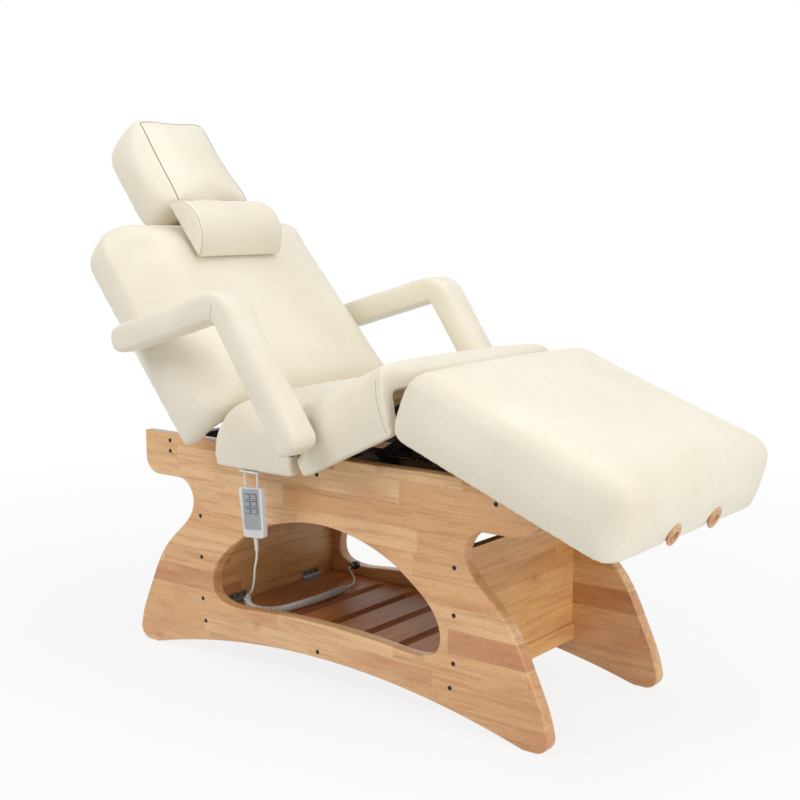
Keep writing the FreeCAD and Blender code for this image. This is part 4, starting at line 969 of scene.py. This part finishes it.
@dataclass
class Seam:
    """Sewn line that lies in the leather of a pad, darker than the leather as painted shade of its crease.

    Attributes:
        name: piece name.
        pad: pad that it lies on.
        path: drawing points close to the leather.
        finish: its finish, whose dark colour is painted shade of the crease.
        radius: radius of the line, in metres.
        closed: whether the line closes on itself.
        sunk: share of the radius by which it lies under the leather.
    """

    name: str
    pad: Upholstery
    path: Sequence[Point]
    finish: LeatherFinish
    radius: float = 0.0011
    closed: bool = False
    sunk: float = 0.3

    def build(self) -> Object:
        """Lay the line on the leather and set it on the pad's body."""
        leather = mesh_of(self.pad.piece)
        tree = BVHTree.FromPolygons([v.co for v in leather.vertices], [f.vertices for f in leather.polygons])
        places = []
        for near in self.path:
            place, normal, _, _ = tree.find_nearest(to_row(near))
            places.append(place - normal * self.radius * self.sunk)
        curve = new_curve(self.name)
        add_line(curve, "POLY", places).use_cyclic_u = self.closed
        curve.bevel_depth = self.radius
        curve.bevel_resolution = 2
        curve.use_fill_caps = True
        mesh = taken(new_piece(self.name + "_work", curve))
        smooth(mesh)
        seam = new_piece(self.name, mesh)
        PALETTE.dress(seam, self.finish)
        settle(seam, "ivory_leather", self.pad.body)
        return seam


@dataclass
class HeadrestSeam:
    """Seam along the headrest's front panel, closer to the middle at the head end, near-black as painted shade of
    its groove.
    """

    pad: Upholstery
    head_x: float = -1176.0
    low_x: float = -907.0
    head_y: float = 113.0
    low_y: float = 130.0
    z: float = 712.0
    steps: int = 40

    def build(self) -> list[Object]:
        """Lay the seam."""
        corners = [(self.low_x, -self.low_y, self.z), (self.head_x, -self.head_y, self.z),
                   (self.head_x, self.head_y, self.z), (self.low_x, self.low_y, self.z)]
        path = [p for a, b in zip(corners, corners[1:]) for p in between(a, b, self.steps)] + corners[-1:]
        return [Seam("headrest_seam", self.pad, [on_back(p) for p in path], DARK_SEAM_SHADE).build()]


@dataclass
class BolsterSeams:
    """Seams round the half-round ends of the neck bolster."""

    pad: Upholstery
    low_x: float = -715.5
    height: float = 178.0
    depth: float = 66.0
    rear_z: float = 714.5
    middle_y: float = -39.0
    length: float = 293.0
    steps: int = 40
    thread: float = 0.0009

    def build(self) -> list[Object]:
        """Lay both seams."""
        half = self.height / 2
        radius = (half ** 2 + self.depth ** 2) / (2 * self.depth)
        centre_x = self.low_x - half
        centre_z = self.rear_z + self.depth - radius
        sweep = math.asin(half / radius)
        made = []
        for name, side in SIDES:
            y = self.middle_y + side * self.length / 2
            path = [(centre_x + radius * math.sin(a), y, centre_z + radius * math.cos(a))
                    for a in (sweep * (2 * k / self.steps - 1) for k in range(self.steps + 1))]
            path += between(path[-1], path[0], self.steps // 2)[1:]
            made.append(Seam("bolster_seam_" + name, self.pad, [on_back(p) for p in path], PALE_SEAM_SHADE, self.thread,
                             closed=True).build())
        return made


@dataclass
class KneeSeam:
    """Seams up the sides of the thigh pad, where its end panel is sewn on."""

    pad: Upholstery
    low: Pair = (280.0, 531.0)
    high: Pair = (294.0, 664.0)
    outer_y: float = 352.0
    steps: int = 30
    thread: float = 0.0007

    def build(self) -> list[Object]:
        """Lay a seam on each side."""
        made = []
        for name, side in SIDES:
            y = side * self.outer_y
            path = between((self.low[0], y, self.low[1]), (self.high[0], y, self.high[1]), self.steps)
            made.append(Seam("thigh_seam_" + name, self.pad, [on_thigh(p) for p in path], PALE_SEAM_SHADE,
                             self.thread).build())
        return made


@dataclass
class ElbowSeam:
    """Mitre seam from the inner elbow of an arm across its outer face."""

    pad: Upholstery
    side: int
    inner: Pair = (-149.0, 876.0)
    reach: Pair = (-136.0, 918.0)
    outer_y: float = 449.0
    steps: int = 14
    thread: float = 0.0009

    def build(self) -> list[Object]:
        """Lay the seam."""
        y = self.side * self.outer_y
        path = between((self.inner[0], y, self.inner[1]), (self.reach[0], y, self.reach[1]), self.steps)
        return [Seam(self.pad.node + "_seam", self.pad, path, PALE_SEAM_SHADE, self.thread).build()]


@dataclass
class Rosette:
    """Turned wooden ring at the foot end: a spigot, a thin stepped flange and the bore through it.

    Attributes:
        side: near or far.
        y: its place across the table, in millimetres.
        foot_x: X of the leg section's end face in the flat drawing.
        z: its height in the flat drawing.
        segments: steps round the ring.
        edge: rounding of its edges, in metres.
        turning: how far out of the end face and which radius, for each point of the outline.
    """

    side: str
    y: float
    foot_x: float = 905.0
    z: float = 547.0
    segments: int = 64
    edge: float = 0.0004
    turning: tuple[Pair, ...] = (
        (-70.0, 9.05), (-70.0, 15.0), (-0.5, 15.0), (-0.5, 24.5), (2.6, 25.0), (4.4, 24.2), (5.0, 22.8), (5.0, 18.6),
        (3.6, 17.4), (3.6, 16.2), (6.4, 14.8), (7.4, 13.2), (7.4, 11.4), (6.0, 9.6), (4.0, 9.05))

    def build(self) -> list[Object]:
        """Turn the ring and set it on the leg section."""
        shape = bmesh.new()
        rings = []
        for k in range(self.segments):
            angle = 2 * math.pi * k / self.segments
            places = [(self.foot_x + out, self.y + r * math.sin(angle), self.z + r * math.cos(angle))
                      for out, r in self.turning]
            rings.append([shape.verts.new(to_row(on_leg(p))) for p in places])
        for ring, following in zip(rings, rings[1:] + rings[:1]):
            for k in range(len(ring)):
                shape.faces.new((ring[k - 1], ring[k], following[k], following[k - 1]))
        bmesh.ops.recalc_face_normals(shape, faces=shape.faces)
        node = "rosette_" + self.side
        piece = from_shape(node + "_turned", shape, (TURNED_WOOD,))
        soften(piece, self.edge, 2)
        settle(piece, "rubberwood", "leg", node)
        return [piece]


@dataclass
class SidePanel:
    """Wooden side panel with rounded edges and its row of black bolts, darkened with painted shade of their
    recesses.

    Attributes:
        node: solid that the panel stands for.
        outside: direction of its outer face along Y.
        round_over: rounding of its edges, in metres.
        sharp: angle in degrees from which an edge is shaded sharp.
        bolt_r: radius of a bolt head, in metres.
        bolt_turning: share of the radius and height in metres, for each ring of a bolt head.
        bolt_segments: steps round a bolt head.
        bolts: X and Z of each bolt in the drawing.
    """

    node: str
    outside: int
    round_over: float = 0.005
    sharp: float = 40.0
    bolt_r: float = 0.0054
    bolt_turning: tuple[Pair, ...] = ((1.0, 0.0002), (0.9, 0.0006), (0.55, 0.0005), (0.5, 0.0001))
    bolt_segments: int = 24
    bolts: tuple[Pair, ...] = (
        (-394, 364), (394, 364), (-393, 258), (393, 258), (-392, 150), (392, 150), (-383, 93), (383, 93), (-3, 92),
        (-500, 545), (500, 545), (-500, 518), (500, 518), (1, 518.6))

    # Distances within which two points are one, and a point lies in a face, in metres
    SAME: ClassVar[float] = 1e-5
    FLAT: ClassVar[float] = 1e-4

    def build(self) -> list[Object]:
        """Make the panel from its solid's outline, and its bolts."""
        low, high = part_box(self.node)
        curve = new_curve(self.node + "_outline", flat=True)
        curve.fill_mode = "BOTH"
        for loop in self.loops(low[1]):
            add_line(curve, "POLY", [(x, z, 0.0) for x, z in loop]).use_cyclic_u = True
        curve.extrude = (high[1] - low[1]) / 2 - self.round_over
        curve.bevel_depth = self.round_over
        curve.bevel_resolution = 3
        curve.offset = -self.round_over
        mesh = taken(new_piece(self.node + "_work", curve))
        mesh.transform(Matrix(((1, 0, 0, 0), (0, 0, -1, (low[1] + high[1]) / 2), (0, 1, 0, 0), (0, 0, 0, 1))))
        panel = new_piece(self.node + "_wood", mesh)
        smooth(mesh)
        mesh.set_sharp_from_angle(angle=math.radians(self.sharp))
        PALETTE.dress(panel, PANEL_WOOD)
        settle(panel, "rubberwood", "base", self.node)
        return [panel, self.fasten(low[1] if self.outside < 0 else high[1])]

    def loops(self, y: float) -> list[list[Pair]]:
        """Closed outlines of the panel's flat face at y.

        Args:
            y: place of the face.

        Returns:
            Lists of (x, z) points, one for each outline.
        """
        shape = bmesh.new()
        shape.from_mesh(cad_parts[self.node].data)
        bmesh.ops.remove_doubles(shape, verts=shape.verts, dist=self.SAME)
        flat = {f for f in shape.faces if all(abs(v.co.y - y) < self.FLAT for v in f.verts)}
        following: dict = {}
        for edge in shape.edges:
            if sum(f in flat for f in edge.link_faces) == 1:
                for a, b in ((0, 1), (1, 0)):
                    following.setdefault(edge.verts[a], []).append(edge.verts[b])
        left = set(following)
        found = []
        while left:
            loop = []
            ahead = [min(left, key=lambda v: v.index)]
            while ahead:
                loop.append(ahead[0])
                left.discard(ahead[0])
                ahead = [v for v in following[loop[-1]] if v in left]
            found.append([(v.co.x, v.co.z) for v in loop])
        shape.free()
        return found

    def fasten(self, face: float) -> Object:
        """Put heads for the recessed bolts on the panel's outer face, dished in the middle; their near-black is
        partly painted shade of the recess.

        Args:
            face: place of the face along Y.

        Returns:
            The bolts, as one piece.
        """
        shape = bmesh.new()
        steps = range(self.bolt_segments)
        for x, z in self.bolts:
            centre = to_row((x, 0, z))
            last: list = []
            for share, proud in self.bolt_turning:
                radius, y = self.bolt_r * share, face + self.outside * proud
                angles = [k / self.bolt_segments * math.tau for k in steps]
                ring = [shape.verts.new((centre.x + radius * math.cos(a), y, centre.z + radius * math.sin(a)))
                        for a in angles]
                for k in steps if last else ():
                    shape.faces.new((last[k], last[k - 1], ring[k - 1], ring[k]))
                last = ring
            shape.faces.new(last)
        bmesh.ops.recalc_face_normals(shape, faces=shape.faces)
        bolts = from_shape(self.node + "_bolts", shape, (BOLT_BLACK_AND_SHADE,))
        settle(bolts, "hinge_metal", "base")
        return bolts


@dataclass
class HandsetCord:
    """White cord from the handset: a plain drop, a curly stretch on the shelf and a tail to its socket.

    Attributes:
        diameter: thickness of the cord, in metres.
        curl_r: radius of the curl at the cord's middle.
        loose_pitch: pitch where the curl hangs.
        tight_pitch: pitch where the curl lies.
        loose_run: length over which the pitch tightens.
        end_pitch: pitch where the curl runs out.
        end_run: length over which the curl runs out.
        per_turn: points in a turn.
        hang: route of the drop, in the drawing.
        curl: route of the curly stretch.
        tail: route of the tail.
    """

    diameter: float = 0.0050
    curl_r: float = 0.0072
    loose_pitch: float = 0.0115
    tight_pitch: float = 0.0066
    loose_run: float = 0.11
    end_pitch: float = 0.020
    end_run: float = 0.020
    per_turn: int = 14
    hang: tuple[Point, ...] = (
        (-118.1, -339, 335.3), (-118.6, -338.5, 320), (-130, -332, 300), (-150, -316, 277), (-175, -291, 251),
        (-206, -264, 222), (-240, -234, 194))
    curl: tuple[Point, ...] = (
        (-298, -188, 160), (-312, -180, 150), (-311, -181, 139), (-302, -187, 134), (-288, -194, 133),
        (-268, -201, 133), (-242, -200, 133), (-218, -184, 133), (-204, -156, 133), (-202, -112, 133),
        (-198, -50, 133), (-200, 10, 133), (-203, 55, 133), (-208, 86, 133))
    tail: tuple[Point, ...] = (
        (-213, 112, 131), (-226, 140, 133), (-250, 162, 140), (-276, 176, 147), (-288, 188, 150), (-290, 198, 150))

    # Steps between two points of the curl's guide, and of the cord
    GUIDE_STEPS: ClassVar[int] = 12
    CORD_STEPS: ClassVar[int] = 3

    @staticmethod
    def spline(points: Iterable[Vector], name: str, resolution: int) -> bpy.types.Curve:
        """Smooth curve with the points as its control points.

        Args:
            points: control points, in metres.
            name: curve name.
            resolution: steps between two points.

        Returns:
            The curve.
        """
        curve = new_curve(name)
        line = add_line(curve, "NURBS", list(points))
        line.order_u = 3
        line.use_endpoint_u = True
        line.resolution_u = resolution
        return curve

    def walked(self, points: Iterable[Vector], name: str, resolution: int) -> list[Vector]:
        """Points along the smooth curve of control points."""
        line = taken(new_piece(name, self.spline(points, name, resolution)))
        return [v.co.copy() for v in line.vertices]

    def helix(self) -> list[Vector]:
        """Turns round the smooth line of the curly stretch."""
        line = self.walked((to_row(p) for p in self.curl), "curl_guide", self.GUIDE_STEPS)
        steps = [(b - a).length for a, b in zip(line, line[1:])]
        total = sum(steps)
        turns = []
        side = Vector((1.0, 0.0, 0.0))
        at, gone, along, angle = 0, 0.0, 0.0, 0.0
        while along < total:
            while at < len(steps) - 1 and gone + steps[at] < along:
                gone += steps[at]
                at += 1
            ahead = (line[at + 1] - line[at]).normalized()
            middle = line[at] + ahead * (along - gone)
            side = (side - ahead * side.dot(ahead)).normalized()
            rise = side.cross(ahead)
            pitch = self.tight_pitch + (self.loose_pitch - self.tight_pitch) * max(0.0, 1.0 - along / self.loose_run)
            ease = min(1.0, along / self.end_run, (total - along) / self.end_run)
            pitch = max(pitch, self.end_pitch + (pitch - self.end_pitch) * ease)
            turns.append(middle + (side * math.cos(angle) + rise * math.sin(angle)) * self.curl_r * ease)
            along += pitch / self.per_turn
            angle += math.tau / self.per_turn
        return turns

    def build(self) -> list[Object]:
        points = [to_row(p) for p in self.hang] + self.helix() + [to_row(p) for p in self.tail]
        curve = self.spline(points, "handset_cord", self.CORD_STEPS)
        curve.bevel_depth = self.diameter / 2
        curve.bevel_resolution = 3
        curve.use_fill_caps = True
        cord = new_piece("handset_cord", curve)
        PALETTE.dress(cord, CORD_WHITE)
        path = self.walked(points, "cord_line", self.CORD_STEPS)
        settle(cord, "cord_white", "base", "cord_hang", "cord_curl", "cord_tail")
        return [cord]


@dataclass
class ShelfHinges:
    """Butt hinges in the corner of the shelf and an end board: leaves, knuckles, pin and screws.

    Attributes:
        node: solid that the hinges stand for.
        end: direction of the end board along X.
        face_x: inner face of the end board.
        shelf_z: top of the shelf.
        places: middle of each hinge along Y.
        width: width of a hinge.
        leaf: depth of a leaf beyond the knuckles.
        thick: thickness of a leaf.
        pin_r: radius of the knuckles.
        pin_share: radius of the pin as a share of that.
        knuckles: number of knuckles.
        knuckle_gap: gap between two knuckles.
        screws: number of screws in a leaf.
        screw_r: radius of a screw head.
        screw_high: height of a screw head.
        edge: rounding of the edges, in metres.
    """

    node: str
    end: int
    face_x: float = 379.0
    shelf_z: float = 122.0
    places: tuple[float, ...] = (-150.0, 128.0)
    width: float = 64.0
    leaf: float = 16.0
    thick: float = 1.6
    pin_r: float = 3.0
    pin_share: float = 0.7
    knuckles: int = 5
    knuckle_gap: float = 0.8
    screws: int = 3
    screw_r: float = 3.4
    screw_high: float = 0.7
    edge: float = 0.0004

    def build(self) -> list[Object]:
        """Make the hinges of one end and set them on the base."""
        shape = bmesh.new()
        for y in self.places:
            self.hinge(shape, y)
        piece = from_shape(self.node + "_metal", shape, (HINGE_METAL, SCREW_DARK))
        soften(piece, self.edge, 2)
        settle(piece, "hinge_metal", "base", self.node)
        return [piece]

    def block(self, shape: Shape, x: Pair, y: Pair, z: Pair) -> None:
        """Add a block, with X measured from the board's face into the shelf space."""
        xs = sorted(self.end * (self.face_x - v) for v in x)
        add_block(shape, (xs[0], y[0], z[0]), (xs[1], y[1], z[1]))

    def hinge(self, shape: Shape, y: float) -> None:
        """Add one hinge.

        Args:
            shape: shape that it goes into.
            y: its middle.
        """
        y0, y1 = y - self.width / 2, y + self.width / 2
        inner = 2 * self.pin_r
        pin_z = self.shelf_z + self.pin_r
        self.block(shape, (0.0, self.thick), (y0, y1), (pin_z, self.shelf_z + inner + self.leaf))
        self.block(shape, (self.pin_r, inner + self.leaf), (y0, y1), (self.shelf_z, self.shelf_z + self.thick))
        pin = self.end * (self.face_x - self.pin_r)
        step = self.width / self.knuckles
        for k in range(self.knuckles):
            add_round(shape, (pin, y0 + (k + 0.5) * step, pin_z), Axis.Y, self.pin_r, step - self.knuckle_gap)
        add_round(shape, (pin, y, pin_z), Axis.Y, self.pin_r * self.pin_share, self.width, 1)
        mid = inner + self.leaf / 2
        for k in range(self.screws):
            at = y0 + (k + 0.5) * self.width / self.screws
            for away, high, axis in ((self.thick, mid, Axis.X), (mid, self.thick, Axis.Z)):
                place = (self.end * (self.face_x - away), at, self.shelf_z + high)
                add_round(shape, place, axis, self.screw_r, self.screw_high, 1)


@dataclass
class DeckCover:
    """Black cover over the frame, with a wide slot for each leg lever and its link."""

    node: str = "deck_cover"
    x: Pair = (60.0, 480.0)
    half_y: float = 225.0
    z: Pair = (553.0, 556.0)
    slot_y: Pair = (113.0, 141.0)
    slot_x: float = 333.0

    def build(self) -> list[Object]:
        """Make the cover and set it on the base."""
        inner, outer = self.slot_y
        back, front = self.x
        half = [(front, self.half_y), (back, self.half_y), (back, outer), (self.slot_x, outer), (self.slot_x, inner),
                (back, inner)]
        outline = half + [(x, -y) for x, y in reversed(half)]
        shape = bmesh.new()
        sheet = shape.faces.new([shape.verts.new(to_row((x, y, self.z[0]))) for x, y in outline])
        grown = bmesh.ops.extrude_face_region(shape, geom=[sheet])["geom"]
        rise = Vector((0.0, 0.0, (self.z[1] - self.z[0]) * MM))
        bmesh.ops.translate(shape, vec=rise, verts=[v for v in grown if isinstance(v, bmesh.types.BMVert)])
        bmesh.ops.recalc_face_normals(shape, faces=shape.faces)
        cover = from_shape(self.node + "_sheet", shape, (BLACK_COVER,))
        settle(cover, "black_cover", "base", self.node)
        return [cover]


@dataclass
class KeypadLines:
    """Wider keypad rim and the dark outline of each button, without lettering.

    Attributes:
        x: middle of the handset.
        z: height of the handset's middle.
        front: front of the keypad.
        proud: how far the lines stand out of it.
        sunk: how far they go into it.
        tilt: lean of the handset to the side, in degrees.
        rows: rows of buttons.
        pitch: pitch of the buttons, across and up.
        top: height of the first row above the middle.
        button: width and height of a button.
        keypad: width and height of the keypad.
        up: height of the keypad's middle above the handset's.
        rim: width of the rim.
        line: width of an outline.
        gap: gap between a button and its outline.
    """

    x: float = -126.0
    z: float = 426.0
    front: float = -345.0
    proud: float = 0.35
    sunk: float = 0.2
    tilt: float = -5.0
    rows: int = 3
    pitch: Pair = (21.0, 17.0)
    top: float = 38.0
    button: Pair = (15.0, 11.0)
    keypad: Pair = (46.0, 88.0)
    up: float = 8.0
    rim: float = 4.0
    line: float = 1.3
    gap: float = 0.3

    def build(self) -> list[Object]:
        """Make the rim and the outlines on the tilted handset."""
        shape = bmesh.new()
        self.ring(shape, (self.x, self.z + self.up), self.keypad, self.rim, 0)
        inner = tuple(v + 2 * self.gap for v in self.button)
        for row in range(self.rows):
            for side in (-1, 1):
                middle = (self.x + side * self.pitch[0] / 2, self.z + self.top - row * self.pitch[1])
                self.ring(shape, middle, inner, self.line, 1)
        pivot = Matrix.Translation(to_row((self.x, 0.0, self.z)))
        turn = pivot @ Matrix.Rotation(math.radians(self.tilt), 4, "Y") @ pivot.inverted()
        bmesh.ops.transform(shape, matrix=turn, verts=shape.verts)
        piece = from_shape("keypad_lines", shape, (KEYPAD_GREY, KEY_LINE))
        settle(piece, "keypad_grey", "base")
        return [piece]

    def ring(self, shape: Shape, middle: Pair, inner: Pair, width: float, slot: int) -> None:
        """Add a flat frame.

        Args:
            shape: shape that it goes into.
            middle: X and Z of its middle.
            inner: width and height inside it.
            width: width of the frame.
            slot: material slot.
        """
        x, z = middle
        w, h = inner[0] / 2, inner[1] / 2
        y0, y1 = self.front - self.proud, self.front + self.sunk
        add_block(shape, (x - w - width, y0, z - h - width), (x - w, y1, z + h + width), slot)
        add_block(shape, (x + w, y0, z - h - width), (x + w + width, y1, z + h + width), slot)
        add_block(shape, (x - w, y0, z - h - width), (x + w, y1, z - h), slot)
        add_block(shape, (x - w, y0, z + h), (x + w, y1, z + h + width), slot)


@dataclass
class Dressing:
    """Finishes and rounded edges, in metres, of the solids that show as they are."""

    finishes: dict[Finish, tuple[str, ...]] = field(default_factory=lambda: {
        BOARD_WOOD: ("end_board_head", "end_board_foot", "shelf_rail_head", "shelf_rail_foot", "shelf_rail_mid",
                     "leg_end_rail"),
        SHELF_WOOD: ("shelf_panel",),
        PLYWOOD: ("seat_board", "back_board", "thigh_board", "leg_board"),
        BLACK_STEEL: ("top_frame", "seat_carrier_near", "seat_carrier_far", "back_frame", "thigh_frame", "leg_frame",
                      "leg_link_near", "leg_link_far", "arm_bracket_near", "arm_bracket_far"),
        BRIGHT_STEEL: ("hip_shaft", "headrest_rod_near", "headrest_rod_far", "back_actuator_rod",
                       "knee_actuator_rod"),
        ACTUATOR_PLASTIC: ("back_actuator", "knee_actuator"),
        TAB_FABRIC: ("bolster_tab",),
        HANDSET_WHITE: ("handset_housing",),
        KEYPAD_GREY: ("handset_keypad",),
        BUTTON_GREY: BUTTONS,
        HANGER_WIRE: ("handset_hanger",),
        CORD_WHITE: ("cord_relief",),
        PLUG_BLACK: ("cord_plug", "cord_socket"),
    })
    rounds: dict[float, tuple[str, ...]] = field(default_factory=lambda: {
        0.003: ("end_board_head", "end_board_foot", "shelf_rail_head", "shelf_rail_foot", "shelf_panel"),
        0.0018: ("handset_housing",),
        0.0007: BUTTONS,
    })

    def build(self) -> list[Object]:
        """Dress every node, and round the edges that show."""
        for width, names in self.rounds.items():
            for name in names:
                soften(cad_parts[name], width)
        dressed = []
        for finish, names in self.finishes.items():
            for name in names:
                PALETTE.dress(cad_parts[name], finish)
                dressed.append(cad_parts[name])
        return dressed


@dataclass
class Studio:
    """Pale floor, soft light and the camera of the photograph.

    Attributes:
        lens_px: focal length in pixels.
        frame_px: width of the picture in pixels.
        sensor: width of the sensor, in millimetres.
        place: the camera's place in the drawing.
        right: direction to the right of the picture.
        up: direction to the top of the picture.
        ahead: direction into the picture.
        paper: grey of the floor.
        reach: half the side of the floor, in metres.
        below: how far the floor lies below the feet, in metres.
        fade: distance from the middle over which the floor turns white.
        glow: share of white near the middle, and far from it.
        ambient: strength of the even light.
        lamps: name, place, aim, size and power of each lamp.
    """

    lens_px: float = 1297.87
    frame_px: float = 800.0
    sensor: float = 36.0
    place: Point = (1979.083, -2446.826, 1117.43)
    right: Point = (0.784166, 0.620548, -0.002064)
    up: Point = (-0.087087, 0.11334, 0.989732)
    ahead: Point = (-0.61441, 0.775934, -0.142919)
    paper: float = 0.82
    reach: float = 30.0
    below: float = 0.0005
    fade: Pair = (0.5, 3.4)
    glow: Pair = (0.84, 1.0)
    ambient: float = 0.40
    lamps: tuple[tuple[str, Point, Point, float, float], ...] = (
        ("key", (-1.2, -2.8, 2.9), (0.0, 0.0, 0.5), 2.2, 51.0),
        ("fill", (3.6, -0.6, 1.7), (0.2, 0.0, 0.5), 2.4, 54.0),
        ("top", (0.4, 0.5, 3.6), (0.0, 0.0, 0.6), 2.6, 36.0))

    def camera(self) -> None:
        """Set the camera where the photograph was taken."""
        data = bpy.data.cameras.new("camera")
        data.sensor_width = self.sensor
        data.sensor_height = self.sensor
        data.sensor_fit = "HORIZONTAL"
        data.lens = self.lens_px / self.frame_px * self.sensor
        camera = new_piece("camera", data)
        turn = Matrix((self.right, self.up, [-c for c in self.ahead])).transposed()
        camera.matrix_world = Matrix.Translation(to_row(self.place)) @ turn.to_4x4()
        bpy.context.scene.camera = camera

    def floor(self) -> None:
        """Lay the pale floor, which keeps the shadow and turns white away from the table."""
        s = Sketch(bpy.data.materials.new("floor_paper"))
        s.set(Base_Color=(self.paper, self.paper, self.paper, 1.0), Roughness=0.9, Specular_IOR_Level=0.1)
        away = s.node("VectorMath", {0: s.place()}, operation="LENGTH").outputs["Value"]
        fade = s.node("MapRange", {"Value": away, "From Min": self.fade[0], "From Max": self.fade[1],
                                   "To Min": self.glow[0], "To Max": self.glow[1]}, interpolation_type="SMOOTHSTEP")
        share = s.math("MULTIPLY", s.seen(), fade.outputs[0])
        white = s.node("Emission", {"Strength": 1.0})
        mixed = s.node("MixShader", {0: share, 1: s.shader().outputs[0], 2: white.outputs[0]})
        s.feed(s.tree.nodes["Material Output"].inputs["Surface"], mixed.outputs[0])
        shape = bmesh.new()
        bmesh.ops.create_grid(shape, x_segments=1, y_segments=1, size=self.reach)
        floor = from_shape("floor", shape, ())
        floor.data.materials.append(s.owner)
        floor.location.z = -self.below

    def world(self) -> None:
        """Light the scene evenly, on a white ground."""
        s = Sketch(bpy.data.worlds.new("studio"))
        bpy.context.scene.world = s.owner
        ground = s.tree.nodes["Background"].inputs
        s.feed(ground["Color"], (*WHITE, 1.0))
        s.feed(ground["Strength"], s.span(s.seen(), self.ambient, 1.0))

    def light(self) -> None:
        """Hang the soft lamps."""
        for name, place, aim, size, power in self.lamps:
            data = bpy.data.lights.new(name, "AREA")
            data.size = size
            data.energy = power
            lamp = new_piece(name, data)
            lamp.location = place
            lamp.rotation_euler = (Vector(aim) - Vector(place)).to_track_quat("-Z", "Y").to_euler()

    def build(self) -> None:
        """Set up camera, floor and light."""
        self.camera()
        self.floor()
        self.world()
        self.light()
        bpy.context.scene.view_settings.view_transform = "Standard"


def main() -> None:
    """Build the studio, the cord, the panels, the pads and their seams, and dress the rest."""
    logging.basicConfig(level=logging.INFO, format="%(message)s")
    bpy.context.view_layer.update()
    Studio().build()
    knee = (272.0, 780.0)
    back = Upholstery("back_cushion", "back", tilted(BACK_TILT), rounding=26, puff=0.013, lean=0.16)
    seat = Upholstery("seat_cushion", "base", tilted(0.0), voxel=0.006, rounding=20)
    thigh = Upholstery("thigh_cushion", "thigh", tilted(THIGH_TILT), voxel=0.006, rounding=20, crisp=knee)
    leg = Upholstery("leg_cushion", "leg", tilted(LEG_TILT), cap=0.005, rounding=30, puff=0.006, crisp=knee)
    headrest = Upholstery("headrest_cushion", "headrest", tilted(BACK_TILT), voxel=0.006, cap=0.008, inset=-0.003,
                          hem=-0.05, taper=0.08, puff=0.009)
    bolster = Upholstery("neck_bolster", "headrest", tilted(BACK_TILT), voxel=0.004, cap=0.004, inset=0.001,
                         evening=8, rounding=0)
    arms = [Upholstery("arm_pad_" + side, "arm_" + side, tilted(0.0), voxel=0.005, cap=0.005, inset=0.002,
                       rounding=2, hem=-0.05) for side, _ in SIDES]
    makers = [HandsetCord(), Dressing(), *(SidePanel("side_panel_" + side, way) for side, way in SIDES),
              ShelfHinges("shelf_hinges_head", -1), ShelfHinges("shelf_hinges_foot", 1),
              *(Rosette(side, way * ROSETTE_Y) for side, way in SIDES), DeckCover(), KeypadLines(),
              back, seat, thigh, leg, headrest, bolster, *arms,
              HeadrestSeam(headrest), KneeSeam(thigh), BolsterSeams(bolster),
              *(ElbowSeam(arm, way) for arm, (_, way) in zip(arms, SIDES))]
    for maker in makers:
        for piece in maker.build():
            LOG.info("%s: %s", type(maker).__name__, piece.name)


if __name__ == "__main__":
    main()
